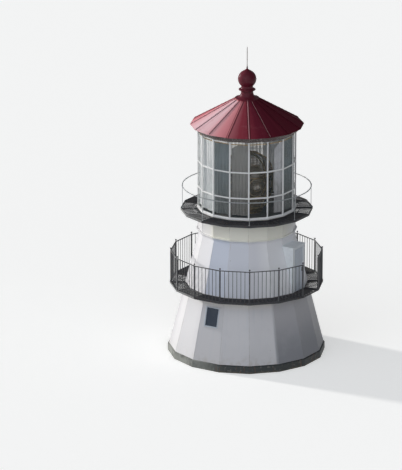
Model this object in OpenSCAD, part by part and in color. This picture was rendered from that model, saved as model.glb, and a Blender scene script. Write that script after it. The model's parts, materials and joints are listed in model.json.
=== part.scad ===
// Sixteen-sided iron lighthouse tower, in millimetres.
// The origin is on the ground at the tower's axis, +Z is up, and corner 0 points along -Y.
// Radii of sixteen-sided pieces are measured to their corners.

/* [Tower wall] */
// Corner radius of the wall where it stands on the plinth
wall_foot_r = 3040; // [2900:10:3200]
// How far the top of the wall stands in from the neck's face
wall_top_in = 35; // [10:5:60]
// Height of the wall above the plinth
wall_h = 4580; // [4500:10:4800]
// Thickness of the wall plates, measured at the corners
plate_t = 22; // [14:2:40]
// Height of the dark plinth
plinth_h = 270; // [200:10:400]
// How far the plinth stands proud of the wall's foot
plinth_proud = 42; // [10:2:80]
// How far the plinth reaches inside the wall's face
plinth_in = 110; // [60:10:200]
// Thickness of the ground floor
ground_floor_t = 60; // [30:10:120]
// Width of the seam between neighbouring plates
seam_w = 0.4; // [0.3:0.1:0.8]
// Clearance between a piece and its seat
fit = 0.3; // [0.1:0.1:0.5]

/* [Lower gallery] */
// Height of the lower gallery's walking surface above the plinth
gallery_up = 2540; // [2450:10:2600]
// Width of the lower gallery from the wall to its edge, along a corner
gallery_w = 604; // [500:4:700]
// Thickness of the floor grating
grate_t = 30; // [20:2:40]
// Distance between the grating's rows of slots
slot_pitch = 72; // [50:2:90]
// Length of the grating's slots
slot_l = 145; // [90:5:200]
// Width of the bars between the slots
slot_bar_w = 12; // [8:1:18]
// Width of the plain frame round a grating panel
panel_frame_w = 24; // [16:2:36]
// Height of the lower gallery's edge bar
gallery_rim_h = 75; // [50:5:100]
// How far the edge bar stands above the grating
rim_up = 15; // [5:1:25]
// Thickness of the edge bars
rim_t = 10; // [6:1:14]
// Depth of the deck beams at the wall
beam_h = 90; // [70:5:120]
// Depth of the deck beams at the edge
beam_tip_h = 40; // [30:5:60]
// Thickness of the beams' webs
beam_web_t = 12; // [8:1:16]
// Width of the beams' flanges
flange_w = 60; // [50:5:80]
// Thickness of the beams' flanges
flange_t = 8; // [6:1:12]
// Height of the railing above the walking surface
railing_h = 1275; // [1000:25:1350]
// Width of the square railing posts
post_w = 46; // [36:2:60]
// Distance of the posts' centres in from the gallery's edge
post_inset = 36; // [34:2:60]
// Width of the top rail
rail_w = 40; // [30:2:50]
// Height of the top rail
rail_h = 26; // [20:2:40]
// Height of the foot rail
foot_rail_h = 14; // [10:2:20]
// Diameter of the balusters
baluster_d = 22; // [16:1:26]
// Number of balusters in a bay
balusters = 6; // [4:1:8]
// Radius of the balls on the posts
finial_r = 34; // [24:2:40]
// Height of the turned neck under a post's ball
finial_neck_h = 30; // [20:2:60]
// Radius of the turned neck under a post's ball
finial_neck_r = 12; // [8:1:16]

/* [Collar and neck] */
// Height of the collar moulding
collar_h = 160; // [130:10:200]
// How far the collar moulding's nose stands proud of the neck
collar_proud = 68; // [50:2:90]
// Height of the collar moulding's nose
nose_h = 46; // [30:2:60]
// Width and height of the bead under the collar moulding's hollow
bead_w = 22; // [10:2:30]
// Corner radius of the neck
neck_r = 1900; // [1800:10:2000]
// Thickness of the neck plates
neck_t = 18; // [12:2:30]

/* [Lantern gallery] */
// Height of the lantern gallery's walking surface above the collar moulding
deck_up = 788; // [700:4:900]
// Width of the lantern gallery from the neck to its edge, along a corner
deck_w = 670; // [560:10:760]
// Height of the lantern gallery's edge bar
deck_rim_h = 90; // [60:5:110]
// Depth of the beams under the lantern gallery
deck_beam_h = 60; // [50:5:90]
// Distance of the inner kerb's face from the neck, along a corner
kerb_out = 220; // [160:10:300]
// Height of the inner kerb above the grating
kerb_h = 48; // [20:2:80]
// How far the handrail's circle lies inside the corners of the gallery's edge
handrail_in = 70; // [60:5:100]
// Height of the handrail above the grating
handrail_h = 905; // [800:5:1100]
// Diameter of the handrail pipe
handrail_d = 38; // [26:2:50]
// Diameter of the handrail's stanchions
stanchion_d = 20; // [16:1:26]
// Diameter of the stanchions' round feet
stanchion_foot_d = 60; // [44:2:80]
// Thickness of the stanchions' round feet
stanchion_foot_t = 12; // [8:1:20]

/* [Lantern] */
// Height of the top of the lantern's sill above the grating
sill_up = 107; // [90:1:130]
// Height of the sill itself
sill_h = 75; // [50:5:90]
// How far the sill stands proud of the neck
sill_proud = 38; // [30:2:60]
// Height of the sill's sloping top edge
sill_slope_h = 22; // [10:1:30]
// How far the glazing bars' outer faces stand out from the neck's face
glazing_out = 14; // [8:1:20]
// Width of the glazing bars' outer flange
glazing_bar_w = 56; // [44:2:70]
// Width of the glazing bars' inner web
glazing_web_w = 30; // [20:2:40]
// Depth of the glazing bars
glazing_bar_d = 52; // [44:2:60]
// Depth of the glazing bars' outer flange
glazing_flange_t = 20; // [14:1:26]
// Height of the lower panes, from the sill to the middle of the lower glazing ring
row_low_h = 783; // [700:1:860]
// Height of the middle panes, between the middles of the glazing rings
row_middle_h = 1024; // [940:2:1100]
// Height of the upper panes, from the middle of the upper glazing ring to the top of the glass
row_high_h = 1213; // [1120:1:1300]
// Height of the glazing rings' outer flange
ring_h = 46; // [40:2:60]
// Height of the glazing rings' inner web
ring_web_h = 22; // [16:2:34]
// Thickness of the panes
pane_t = 10; // [6:1:14]
// Thickness of the lantern's floor
lantern_floor_t = 40; // [20:5:60]

/* [Cornice and roof] */
// Height of the cornice between the glass and the eave
cornice_h = 225; // [200:5:260]
// How far the cornice's nose stands proud of the glazing, along a corner
cornice_out = 224; // [180:2:240]
// Height of the straight bands at the cornice's foot and head
cornice_band_h = 26; // [16:2:36]
// How far the cornice's foot stands proud of the glazing
cornice_foot_out = 12; // [6:1:20]
// Reach of the eave beyond the glazing, along a corner
eave_out = 273; // [250:1:300]
// Rise of the roof from the eave to its upper end
roof_h = 1040; // [940:10:1140]
// Upright thickness of the roof plates
roof_t = 24; // [16:2:30]
// Corner radius where the roof plates end under the ventilator
roof_top_r = 420; // [380:10:440]
// Width of the roof ribs
rib_w = 44; // [30:2:60]
// Height of the roof ribs above the plates
rib_h = 30; // [20:2:40]

/* [Ventilator] */
// Radius of the ventilator's base flange
vent_base_r = 465; // [450:5:480]
// Height of the ventilator's base flange
vent_flange_h = 50; // [30:5:70]
// Width of the base flange's seat on the roof plates
vent_seat_w = 60; // [48:2:80]
// Width of the ledge on top of the base flange
vent_ledge_w = 50; // [30:5:70]
// Radius of the ventilator's neck
vent_neck_r = 236; // [200:2:250]
// Radius of the collar on the neck
vent_collar_r = 318; // [280:2:330]
// Height of the collar on the neck
vent_collar_h = 68; // [50:2:80]
// Height of the neck between the collar's middle and the ball
vent_neck_h = 150; // [120:5:180]
// Height of the centre of the ventilator ball above the roof plates' upper end
ball_up = 762; // [740:2:800]
// Radius of the ventilator ball
ball_r = 356; // [340:2:370]
// Radius of the pointed cap on the ball
cap_r = 92; // [70:2:120]
// Height of the pointed cap on the ball
cap_h = 96; // [70:2:140]
// Diameter of the lightning rod
rod_d = 24; // [16:2:30]
// Height of the tip of the lightning rod above the ball's centre
rod_up = 1290; // [900:10:1400]
// Length of the lightning rod's pointed end
rod_tip_h = 60; // [40:5:120]

/* [Window] */
// Width of the window's opening
window_w = 600; // [500:10:700]
// Height of the window's opening along the wall
window_h = 790; // [700:10:850]
// Height of the window's centre above the plinth
window_up = 1735; // [1600:5:1800]
// Width of the window's frame
window_frame_w = 34; // [24:2:50]
// Depth of the window's frame
window_frame_d = 72; // [50:2:90]
// How far the window's frame stands proud of the wall
window_proud = 22; // [10:1:30]

/* [Gallery door] */
// Width of the door's opening
door_w = 610; // [560:10:640]
// Height of the door's opening
door_h = 1710; // [1600:10:1730]
// Thickness of the door
door_t = 44; // [36:2:50]
// How far the door stands back from the porch's face
door_set_back = 12; // [6:1:20]
// Width of the door's stiles and rails
stile_w = 96; // [80:2:120]
// Depth of the door's sunk panels
panel_sink_d = 12; // [6:1:16]
// Length of the hinges' barrels
hinge_l = 96; // [70:2:130]
// Diameter of the hinges' barrels
hinge_d = 18; // [14:1:22]
// Length of the hinges' straps
strap_l = 240; // [160:10:300]
// Thickness of the hinges' straps
strap_t = 6; // [4:1:8]
// Diameter of the door's round handle
knob_d = 44; // [36:2:60]
// Thickness of the door's round handle
knob_t = 14; // [10:1:20]
// Height of the door's handle above the door's foot
knob_up = 820; // [750:10:900]
// Distance of the handle from the door's face
knob_out = 40; // [30:2:60]
// Width of the entrance porch
porch_w = 876; // [820:2:900]
// Distance of the porch's face from the wall's foot on the gallery
porch_out = 26; // [20:2:50]
// Depth of the door's frame in the porch
porch_frame_d = 62; // [60:2:80]
// Thickness of the porch's cheeks
cheek_t = 30; // [20:2:40]
// Thickness of the porch's flat top
porch_top_t = 36; // [24:2:50]
// How far the porch's flat top stands over its cheeks
drip_w = 12; // [6:1:20]
// Height of the lintel over the door
lintel_h = 74; // [50:2:90]

/* [Lamp] */
// Radius of the lens at its belt
lens_r = 980; // [900:10:1050]
// How far the foot of the lens stands in from the belt
lens_foot_in = 235; // [180:5:300]
// Radius of the opening at the top of the lens
lens_top_r = 190; // [150:5:240]
// Height of the foot of the lens above the lantern's floor
lens_up = 260; // [230:10:350]
// Height of the leaning lower prisms
lens_low_h = 500; // [400:10:600]
// Height of the middle belt of the lens
lens_belt_h = 760; // [600:10:850]
// Height of the domed upper prisms
lens_high_h = 760; // [600:10:850]
// Number of prism rings below the belt
prisms_low = 5; // [4:1:7]
// Number of steps in the belt, an odd number
belt_steps = 7; // [5:2:9]
// Number of prism rings above the belt
prisms_high = 9; // [7:1:12]
// Depth of a prism
prism_d = 62; // [45:1:75]
// Thickness of the belt's glass
belt_t = 64; // [50:2:80]
// Depth of the steps in the belt
belt_step_d = 24; // [14:1:30]
// Width of the round convex lens in the middle of each belt panel
eye_d = 300; // [240:10:320]
// How far the round lenses stand out from the belt
eye_out = 26; // [16:2:30]
// Share of a prism row that is left open as the gap to the next
prism_gap = 0.06; // [0.04:0.01:0.12]
// Number of upright ribs round the lens
lens_ribs = 8; // [6:1:12]
// Width of the lens ribs
lens_rib_w = 26; // [16:2:40]
// Depth of the lens ribs
lens_rib_d = 34; // [26:2:44]
// Height of the crown on the lens ribs
crown_h = 30; // [20:2:50]
// Height of the crown's cone
crown_cone_h = 60; // [40:5:90]
// Radius of the foot of the lens pedestal
pedestal_foot_r = 620; // [560:10:680]
// Radius of the waist of the lens pedestal
pedestal_waist_r = 400; // [340:10:460]
// Thickness of the pedestal's foot and table
pedestal_plate_t = 34; // [24:2:44]

/* [Curtains] */
// Depth of the curtain rail's top below the top of the glass
curtain_top_d = 90; // [60:10:200]
// Height of the curtain rail
curtain_rail_h = 30; // [20:2:50]
// Thickness of the curtain rail
curtain_rail_t = 10; // [6:1:14]
// Thickness of the hanging curtains
curtain_t = 24; // [16:2:30]
// Height of the curtains' hem above the lantern's sill
curtain_hem_up = 90; // [60:10:140]
// First side of the lantern that is curtained
curtain_first = 2; // [1:1:3]
// Number of neighbouring sides that are curtained
curtain_sides = 14; // [12:1:14]

/* [Hidden] */

$fn = 64;
eps = 1;
sides = 16;
side_angle = 360 / sides;
half_angle = side_angle / 2;
all_sides = [0:sides - 1];
front_sides = [14, 15, 0, 1];
right_sides = [2, 3, 4, 5];
back_sides = [6, 7, 8, 9];
left_sides = [10, 11, 12, 13];
window_index = 14;
door_index = 2;

// Heights from the ground up
wall_top_z = plinth_h + wall_h;
gallery_z = plinth_h + gallery_up;
storey_z = gallery_z - grate_t;
window_z = plinth_h + window_up;
collar_top_z = wall_top_z + collar_h;
deck_z = collar_top_z + deck_up;
lantern_floor_top = deck_z - grate_t - deck_beam_h;
sill_top_z = deck_z + sill_up;
neck_top_z = sill_top_z - sill_h;
ring_low_z = sill_top_z + row_low_h;
ring_high_z = ring_low_z + row_middle_h;
glass_top_z = ring_high_z + row_high_h;
eave_z = glass_top_z + cornice_h;
roof_top_z = eave_z + roof_h;
ball_z = roof_top_z + ball_up;

// Radii that follow from the neck
wall_top_r = neck_r - wall_top_in;
collar_r = neck_r + collar_proud;
deck_r = neck_r + deck_w;
kerb_r = neck_r + kerb_out;
handrail_r = deck_r - handrail_in;
sill_r = neck_r + sill_proud;
glazing_r = neck_r + glazing_out;
glazing_in_r = glazing_r - glazing_bar_d;
cornice_r = glazing_r + cornice_out;
eave_r = glazing_r + eave_out;

// Lean of the wall and the roof
wall_taper = (wall_foot_r - wall_top_r) / wall_h;
wall_tilt = atan(wall_taper * cos(half_angle));
roof_slope = (roof_h - roof_t) / (eave_r - roof_top_r);
function wall_r(z) = wall_foot_r - (z - plinth_h) * wall_taper;
function roof_under(r) = eave_z + (eave_r - r) * roof_slope;
function roof_over(r) = roof_under(r) + roof_t;
gallery_r = wall_r(storey_z) + gallery_w;

function side_dir(k) = -90 + side_angle * (k + 0.5);
function corner_dir(k) = -90 + side_angle * k;
function flat_r(r) = r * cos(half_angle);
function chord(r) = 2 * r * sin(half_angle);
function radii(profile) = [for (p = profile) p[0]];
function heights(profile) = [for (p = profile) p[1]];
function box_profile(r_in, r_out, low, high) = [[r_in, low], [r_out, low], [r_out, high], [r_in, high]];

// Quarter of a hollow, from its foot to its overhanging top
function hollow(foot, top) = [for (a = [0:15:90]) [
    foot[0] + (top[0] - foot[0]) * (1 - cos(a)),
    foot[1] + (top[1] - foot[1]) * sin(a)
]];

// Path moved sideways to the right of its direction
function path_normal(path, i) =
    let(step = path[min(i + 1, len(path) - 1)] - path[max(i - 1, 0)])
    [step[1], -step[0]] / norm(step);
function shifted(path, by) = [for (i = [0:len(path) - 1]) path[i] + by * path_normal(path, i)];
function backwards(path) = [for (i = [len(path) - 1:-1:0]) path[i]];

// Pie slice centred on +X that holds one side, less half a gap along each of its two cuts
module slice(reach, low, high, gap) {
    translate([gap / 2 / sin(half_angle), 0, low])
        linear_extrude(high - low)
            polygon([
                [0, 0],
                [reach, reach * tan(half_angle)],
                [reach, -reach * tan(half_angle)]
            ]);
}

// Bar along one side, from a profile of [corner radius, height] points
module side_bar(profile, length) {
    rotate([90, 0, 0])
        linear_extrude(length, center = true)
            polygon([for (p = profile) [flat_r(p[0]), p[1]]]);
}

// One side of a ring, mitred at its corners
module side_piece(k, profile, gap = seam_w) {
    reach = max(radii(profile));
    rotate([0, 0, side_dir(k)])
        intersection() {
            side_bar(profile, chord(reach) + eps);
            slice(reach, min(heights(profile)), max(heights(profile)), gap);
        }
}

// Ring made of separate sides
module side_ring(profile, which = all_sides, gap = seam_w) {
    for (k = which)
        side_piece(k, profile, gap);
}

// Piece that wraps a corner of a ring, as wide as given
module corner_piece(k, profile, width) {
    reach = max(radii(profile));
    low = min(heights(profile));
    rotate([0, 0, corner_dir(k)])
        for (flip = [0, 1])
            mirror([0, flip, 0])
                intersection() {
                    rotate([0, 0, half_angle])
                        side_bar(profile, chord(reach) + eps);
                    translate([0, 0, low])
                        cube([reach, width / 2, max(heights(profile)) - low]);
                }
}

// Sixteen-sided plate
module flat_disc(r, low, high) {
    translate([0, 0, low])
        linear_extrude(high - low)
            polygon([for (k = all_sides) r * [cos(corner_dir(k)), sin(corner_dir(k))]]);
}

// Places children on a wall's face: x is outwards, y runs along the side and z up the slope
module on_wall(k, z) {
    rotate([0, 0, side_dir(k)])
        translate([flat_r(wall_r(z)), 0, z])
            rotate([0, -wall_tilt, 0])
                children();
}

// Plinth and floors
module plinth() {
    color("#3a3f3c")
        side_ring(box_profile(wall_foot_r - plinth_in, wall_foot_r + plinth_proud, 0, plinth_h));
}

module ground_floor() {
    color("#8d8a84")
        flat_disc(wall_foot_r - plinth_in - fit, 0, ground_floor_t);
}

shelf_w = 80;
shelf_t = 16;
shelf_z = storey_z - grate_t;

// Angle bars inside the lower wall that carry the gallery's floor
module floor_shelf() {
    lip_low = shelf_z - shelf_w;
    color("#5a5b58")
        side_ring([
            [wall_r(shelf_z) - plate_t - fit - shelf_w, shelf_z],
            [wall_r(shelf_z) - plate_t - fit - shelf_w, shelf_z - shelf_t],
            [wall_r(shelf_z - shelf_t) - plate_t - fit - shelf_t, shelf_z - shelf_t],
            [wall_r(lip_low) - plate_t - fit - shelf_t, lip_low],
            [wall_r(lip_low) - plate_t - fit, lip_low],
            [wall_r(shelf_z) - plate_t - fit, shelf_z]
        ]);
}

module gallery_floor() {
    color("#7c7a76")
        flat_disc(wall_r(storey_z) - plate_t - fit, shelf_z + fit, storey_z);
}

// Tapering wall plates
module wall_plate(k, low, high) {
    side_piece(k, [
        [wall_r(low) - plate_t, low],
        [wall_r(low), low],
        [wall_r(high), high],
        [wall_r(high) - plate_t, high]
    ]);
}

module lower_plates(which) {
    color("#e9e9e6")
        for (k = which)
            if (k == window_index)
                difference() {
                    wall_plate(k, plinth_h, storey_z);
                    on_wall(k, window_z)
                        cube([window_frame_d * 2, window_w, window_h], center = true);
                }
            else
                wall_plate(k, plinth_h, storey_z);
}

module lower_wall_front() {
    lower_plates(front_sides);
}

module lower_wall_right() {
    lower_plates(right_sides);
}

module lower_wall_back() {
    lower_plates(back_sides);
}

module lower_wall_left() {
    lower_plates(left_sides);
}

// Window: a frame set in the wall's opening, and one pane
module window_frame() {
    color("#c9ccc9")
        on_wall(window_index, window_z)
            translate([window_proud - window_frame_d, 0, 0])
                rotate([90, 0, 90])
                    linear_extrude(window_frame_d)
                        difference() {
                            square([window_w - 2 * fit, window_h - 2 * fit], center = true);
                            square([
                                window_w - 2 * window_frame_w,
                                window_h - 2 * window_frame_w
                            ], center = true);
                        }
}

module window_glass() {
    color("#26304a", 0.8)
        on_wall(window_index, window_z)
            cube([
                pane_t,
                window_w - 2 * window_frame_w - 2 * fit,
                window_h - 2 * window_frame_w - 2 * fit
            ], center = true);
}

// Deck beams: T-shaped bars under the corners of a gallery
module deck_beam(k, profile, flange_in, flange_out, top) {
    rotate([0, 0, corner_dir(k)]) {
        rotate([90, 0, 0])
            linear_extrude(beam_web_t, center = true)
                polygon(profile);
        translate([flange_in, -flange_w / 2, top - flange_t])
            cube([flange_out - flange_in, flange_w, flange_t]);
    }
}

post_r = gallery_r - rim_t - post_inset;

module gallery_beams() {
    top = storey_z;
    color("#26282b")
        for (k = all_sides)
            deck_beam(k, [
                [wall_r(top) + fit, top],
                [wall_r(top - beam_h) + fit, top - beam_h],
                [post_r, top - beam_tip_h],
                [post_r, top]
            ], wall_r(top - flange_t) + fit, post_r, top);
}

module lantern_gallery_beams() {
    top = deck_z - grate_t;
    tip = deck_r - rim_t - post_inset;
    color("#26282b")
        for (k = all_sides)
            deck_beam(k, [
                [neck_r + fit, top],
                [neck_r + fit, top - deck_beam_h],
                [tip, top - beam_tip_h],
                [tip, top]
            ], neck_r + fit, tip, top);
}

// Grating panel: a plate with rows of slots that run along the side, and an edge bar
module grating_slots(r_in, r_out) {
    depth = flat_r(r_out - r_in) - 2 * panel_frame_w;
    rows = floor(depth / slot_pitch);
    pitch = depth / rows;
    for (i = [0:rows - 1]) {
        low = flat_r(r_in) + panel_frame_w + i * pitch;
        half = low * tan(half_angle) - panel_frame_w;
        slots = floor((2 * half + slot_bar_w) / (slot_l + slot_bar_w));
        slot_w = (2 * half - (slots - 1) * slot_bar_w) / slots;
        for (j = [0:slots - 1])
            translate([low + slot_bar_w / 2, -half + j * (slot_w + slot_bar_w)])
                square([pitch - slot_bar_w, slot_w]);
    }
}

module grating_panel(k, r_in, r_out, top, rim_h) {
    side_piece(k, box_profile(r_out - rim_t, r_out, top + rim_up - rim_h, top + rim_up));
    rotate([0, 0, side_dir(k)])
        difference() {
            intersection() {
                side_bar(box_profile(r_in, r_out - rim_t, top - grate_t, top), chord(r_out));
                slice(r_out, top - grate_t, top, seam_w);
            }
            translate([0, 0, top - grate_t - eps])
                linear_extrude(grate_t + 2 * eps)
                    grating_slots(r_in, r_out - rim_t);
        }
}

module gallery_grating() {
    color("#1f2124")
        for (k = all_sides)
            grating_panel(k, wall_r(storey_z) + fit, gallery_r, gallery_z, gallery_rim_h);
}

module lantern_gallery_grating() {
    color("#1f2124")
        for (k = all_sides) {
            grating_panel(k, neck_r + fit, deck_r, deck_z, deck_rim_h);
            side_piece(k, box_profile(kerb_r - rim_t, kerb_r, deck_z, deck_z + kerb_h));
        }
}

// Lower gallery's railing
railing_top = gallery_z + railing_h;
finial_cap_h = 10;

module railing_post(k) {
    ball_up = railing_h + finial_neck_h + finial_r;
    rotate([0, 0, corner_dir(k)])
        translate([post_r, 0, gallery_z]) {
            translate([-post_w / 2, -post_w / 2, 0])
                cube([post_w, post_w, railing_h]);
            rotate_extrude()
                polygon([
                    [0, railing_h - finial_cap_h],
                    [post_w / 2, railing_h],
                    [finial_neck_r, railing_h + finial_cap_h],
                    [finial_neck_r, ball_up],
                    [0, ball_up]
                ]);
            translate([0, 0, ball_up])
                sphere(r = finial_r);
        }
}

module gallery_posts() {
    color("#1c1d20")
        for (k = all_sides)
            railing_post(k);
}

module railing_bay(k) {
    gap = post_w + 2 * fit;
    rail_in = post_r - rail_w / 2;
    rail_out = post_r + rail_w / 2;
    space = (chord(post_r) - post_w) / (balusters + 1);
    side_piece(k, box_profile(rail_in, rail_out, railing_top - rail_h, railing_top), gap);
    side_piece(k, box_profile(rail_in, rail_out, gallery_z, gallery_z + foot_rail_h), gap);
    rotate([0, 0, side_dir(k)])
        for (i = [1:balusters])
            translate([flat_r(post_r), (i - (balusters + 1) / 2) * space, gallery_z])
                cylinder(h = railing_h - rail_h / 2, d = baluster_d, $fn = 16);
}

module gallery_railing_right() {
    color("#1c1d20")
        for (k = [0:sides / 2 - 1])
            if (k != door_index)
                railing_bay(k);
}

module gallery_railing_left() {
    color("#1c1d20")
        for (k = [sides / 2:sides - 1])
            railing_bay(k);
}

// Upper wall, with the doorway cut down to the plate's foot
door_head_z = gallery_z + door_h;

module doorway_hole() {
    rotate([0, 0, side_dir(door_index)]) {
        translate([0, -door_w / 2, storey_z - eps])
            cube([wall_foot_r, door_w, door_head_z - storey_z + eps]);
        translate([0, -wall_foot_r / 2, door_head_z])
            cube([wall_foot_r, wall_foot_r, seam_w]);
    }
}

module upper_plates(which) {
    color("#e9e9e6")
        for (k = which)
            if (k == door_index)
                difference() {
                    wall_plate(k, storey_z, wall_top_z);
                    doorway_hole();
                }
            else
                wall_plate(k, storey_z, wall_top_z);
}

module upper_wall_front() {
    upper_plates(front_sides);
}

module upper_wall_right() {
    upper_plates(right_sides);
}

module upper_wall_back() {
    upper_plates(back_sides);
}

module upper_wall_left() {
    upper_plates(left_sides);
}

// Entrance porch: upright cheeks that fill the wedge between the leaning wall and the door's plane
porch_x = flat_r(wall_r(gallery_z)) + porch_out;
lintel_top_z = door_head_z + lintel_h;
function wall_x(z) = flat_r(wall_r(z)) + fit;

module porch_cheek(side) {
    jamb_w = (porch_w - door_w - cheek_t) / 2;
    mirror([0, side, 0]) {
        translate([0, porch_w / 2, 0])
            rotate([90, 0, 0])
                linear_extrude(cheek_t)
                    polygon([
                        [wall_x(gallery_z), gallery_z],
                        [porch_x, gallery_z],
                        [porch_x, lintel_top_z],
                        [wall_x(lintel_top_z), lintel_top_z]
                    ]);
        difference() {
            translate([porch_x - porch_frame_d, door_w / 2, gallery_z])
                cube([porch_frame_d, jamb_w, lintel_top_z - gallery_z]);
            rotate([90, 0, 0])
                linear_extrude(porch_w, center = true)
                    polygon([
                        [0, gallery_z - eps],
                        [wall_x(gallery_z - eps), gallery_z - eps],
                        [wall_x(lintel_top_z), lintel_top_z],
                        [0, lintel_top_z]
                    ]);
        }
    }
}

module porch_head() {
    top = lintel_top_z + porch_top_t;
    rotate([90, 0, 0])
        linear_extrude(porch_w + 2 * drip_w, center = true)
            polygon([
                [wall_x(lintel_top_z), lintel_top_z + fit],
                [porch_x + 2 * drip_w, lintel_top_z + fit],
                [porch_x + 2 * drip_w, top - drip_w / 2],
                [porch_x, top],
                [wall_x(top), top]
            ]);
    translate([porch_x - porch_frame_d, -door_w / 2 + fit, door_head_z])
        cube([porch_frame_d, door_w - 2 * fit, lintel_h + fit + eps]);
}

module door_porch() {
    color("#dfe2e2")
        rotate([0, 0, side_dir(door_index)]) {
            for (side = [0, 1])
                porch_cheek(side);
            porch_head();
        }
}

// Door leaf with two sunk panels, strap hinges and a round handle
leaf_w = door_w - 2 * fit;
leaf_h = door_h - 2 * fit;
spindle_d = 18;

module door_hinge(z) {
    translate([0, -leaf_w / 2, z]) {
        translate([0, hinge_d / 2, -hinge_l / 2])
            cylinder(h = hinge_l, d = hinge_d);
        translate([-eps, hinge_d / 2, -hinge_l / 4])
            cube([strap_t + eps, strap_l, hinge_l / 2]);
        translate([-eps, hinge_d / 2 + strap_l, 0])
            rotate([0, 90, 0])
                cylinder(h = strap_t + eps, d = hinge_l / 2);
    }
}

module door_handle() {
    translate([-eps, leaf_w / 2 - stile_w / 2, knob_up])
        rotate([0, 90, 0]) {
            cylinder(h = knob_out + eps, d = spindle_d);
            translate([0, 0, knob_out + eps])
                cylinder(h = knob_t, d = knob_d);
        }
}

module gallery_door() {
    panel_w = leaf_w - 2 * stile_w;
    panel_h = (leaf_h - 3 * stile_w) / 2;
    color("#d6dadb")
        rotate([0, 0, side_dir(door_index)])
            translate([porch_x - door_set_back, 0, gallery_z + fit]) {
                difference() {
                    translate([-door_t, -leaf_w / 2, 0])
                        cube([door_t, leaf_w, leaf_h]);
                    for (row = [0, 1])
                        translate([-panel_sink_d, -panel_w / 2, stile_w + row * (panel_h + stile_w)])
                            cube([panel_sink_d + eps, panel_w, panel_h]);
                }
                for (z = [stile_w / 2, leaf_h / 2, leaf_h - stile_w / 2])
                    door_hinge(z);
                door_handle();
            }
}

// Collar moulding between the wall and the neck
module collar_moulding() {
    nose_z = collar_top_z - nose_h;
    bevel = bead_w / 2;
    color("#e9e9e6")
        side_ring(concat(
            [[wall_top_r - plate_t, wall_top_z], [wall_top_r, wall_top_z]],
            [[wall_top_r + bead_w, wall_top_z + bevel], [wall_top_r + bead_w, wall_top_z + bead_w]],
            hollow([wall_top_r + bead_w, wall_top_z + bead_w], [collar_r, nose_z]),
            [[collar_r, collar_top_z - bevel], [collar_r - bevel, collar_top_z]],
            [[wall_top_r - plate_t, collar_top_z]]
        ));
}

module neck_plates() {
    color("#e9e9e6")
        side_ring(box_profile(neck_r - neck_t, neck_r, collar_top_z, neck_top_z));
}

// Lantern gallery's handrail
module handrail() {
    arc = side_angle - seam_w / handrail_r * 180 / PI;
    color("#c8cccb")
        for (k = all_sides)
            rotate([0, 0, corner_dir(k) + side_angle / 2 - arc / 2])
                rotate_extrude(angle = arc, $fn = 96)
                    translate([handrail_r, deck_z + handrail_h])
                        circle(d = handrail_d, $fn = 16);
}

module handrail_stanchions() {
    stanchion_h = handrail_h - handrail_d / 2 - fit;
    color("#c8cccb")
        for (k = [0:2:sides - 1])
            rotate([0, 0, corner_dir(k)])
                translate([handrail_r, 0, deck_z]) {
                    cylinder(h = stanchion_h, d = stanchion_d);
                    cylinder(
                        h = stanchion_foot_t,
                        d1 = stanchion_foot_d,
                        d2 = stanchion_foot_d - stanchion_foot_t
                    );
                }
}

// Lantern
module lantern_floor() {
    color("#6f6c68")
        flat_disc(neck_r - neck_t - fit, lantern_floor_top - lantern_floor_t, lantern_floor_top);
}

module lantern_sill() {
    sill_in_r = neck_r - neck_t;
    color("#eceae2")
        side_ring([
            [sill_in_r, neck_top_z],
            [sill_r, neck_top_z],
            [sill_r, sill_top_z - sill_slope_h],
            [glazing_r, sill_top_z],
            [glazing_in_r - sill_slope_h, sill_top_z],
            [glazing_in_r - sill_slope_h, neck_top_z + sill_h / 2]
        ]);
}

// Glazing bars are T-shaped, with the panes behind their outer flanges
rebate_r = glazing_r - glazing_flange_t;

module glazing_posts() {
    color("#eceae2")
        for (k = all_sides) {
            flange = box_profile(rebate_r, glazing_r, sill_top_z, glass_top_z);
            web = box_profile(glazing_in_r, rebate_r + eps, sill_top_z, glass_top_z);
            corner_piece(k, flange, glazing_bar_w);
            corner_piece(k, web, glazing_web_w);
        }
}

module glazing_rings() {
    color("#eceae2")
        for (z = [ring_low_z, ring_high_z])
            side_ring([
                [glazing_in_r, z - ring_web_h / 2],
                [rebate_r, z - ring_web_h / 2],
                [rebate_r, z - ring_h / 2],
                [glazing_r, z - ring_h / 2],
                [glazing_r, z + ring_h / 2],
                [rebate_r, z + ring_h / 2],
                [rebate_r, z + ring_web_h / 2],
                [glazing_in_r, z + ring_web_h / 2]
            ], all_sides, glazing_bar_w + 2 * fit);
}

module glass_row(low, high) {
    color("#9fb4ad", 0.45)
        side_ring(
            box_profile(rebate_r - fit - pane_t, rebate_r - fit, low + fit, high - fit),
            all_sides,
            glazing_web_w + 2 * fit
        );
}

module lantern_glass_low() {
    glass_row(sill_top_z, ring_low_z - ring_web_h / 2);
}

module lantern_glass_middle() {
    glass_row(ring_low_z + ring_web_h / 2, ring_high_z - ring_web_h / 2);
}

module lantern_glass_high() {
    glass_row(ring_high_z + ring_web_h / 2, glass_top_z);
}

// Cornice between the glass and the roof: a band, a slanted face, a small hollow and a nose
module lantern_cornice() {
    back_r = glazing_in_r - cornice_foot_out;
    foot_r = glazing_r + cornice_foot_out;
    nose_z = eave_z - cornice_band_h;
    slant_r = foot_r + cornice_h / 5;
    slant_z = glass_top_z + cornice_band_h + cornice_h / 7;
    color("#cfc6be")
        side_ring(concat(
            [[back_r, glass_top_z], [foot_r, glass_top_z], [foot_r, glass_top_z + cornice_band_h]],
            [[slant_r, slant_z], [cornice_r - cornice_band_h, nose_z - cornice_band_h]],
            hollow([cornice_r - cornice_band_h, nose_z - cornice_band_h], [cornice_r, nose_z]),
            [[cornice_r, roof_under(cornice_r) - fit], [back_r, roof_under(back_r) - fit]]
        ));
}

// Roof
module roof_plates() {
    color("#9e1f28")
        side_ring([
            [eave_r, eave_z],
            [eave_r, eave_z + roof_t],
            [roof_top_r, roof_over(roof_top_r)],
            [roof_top_r, roof_under(roof_top_r)]
        ]);
}

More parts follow.
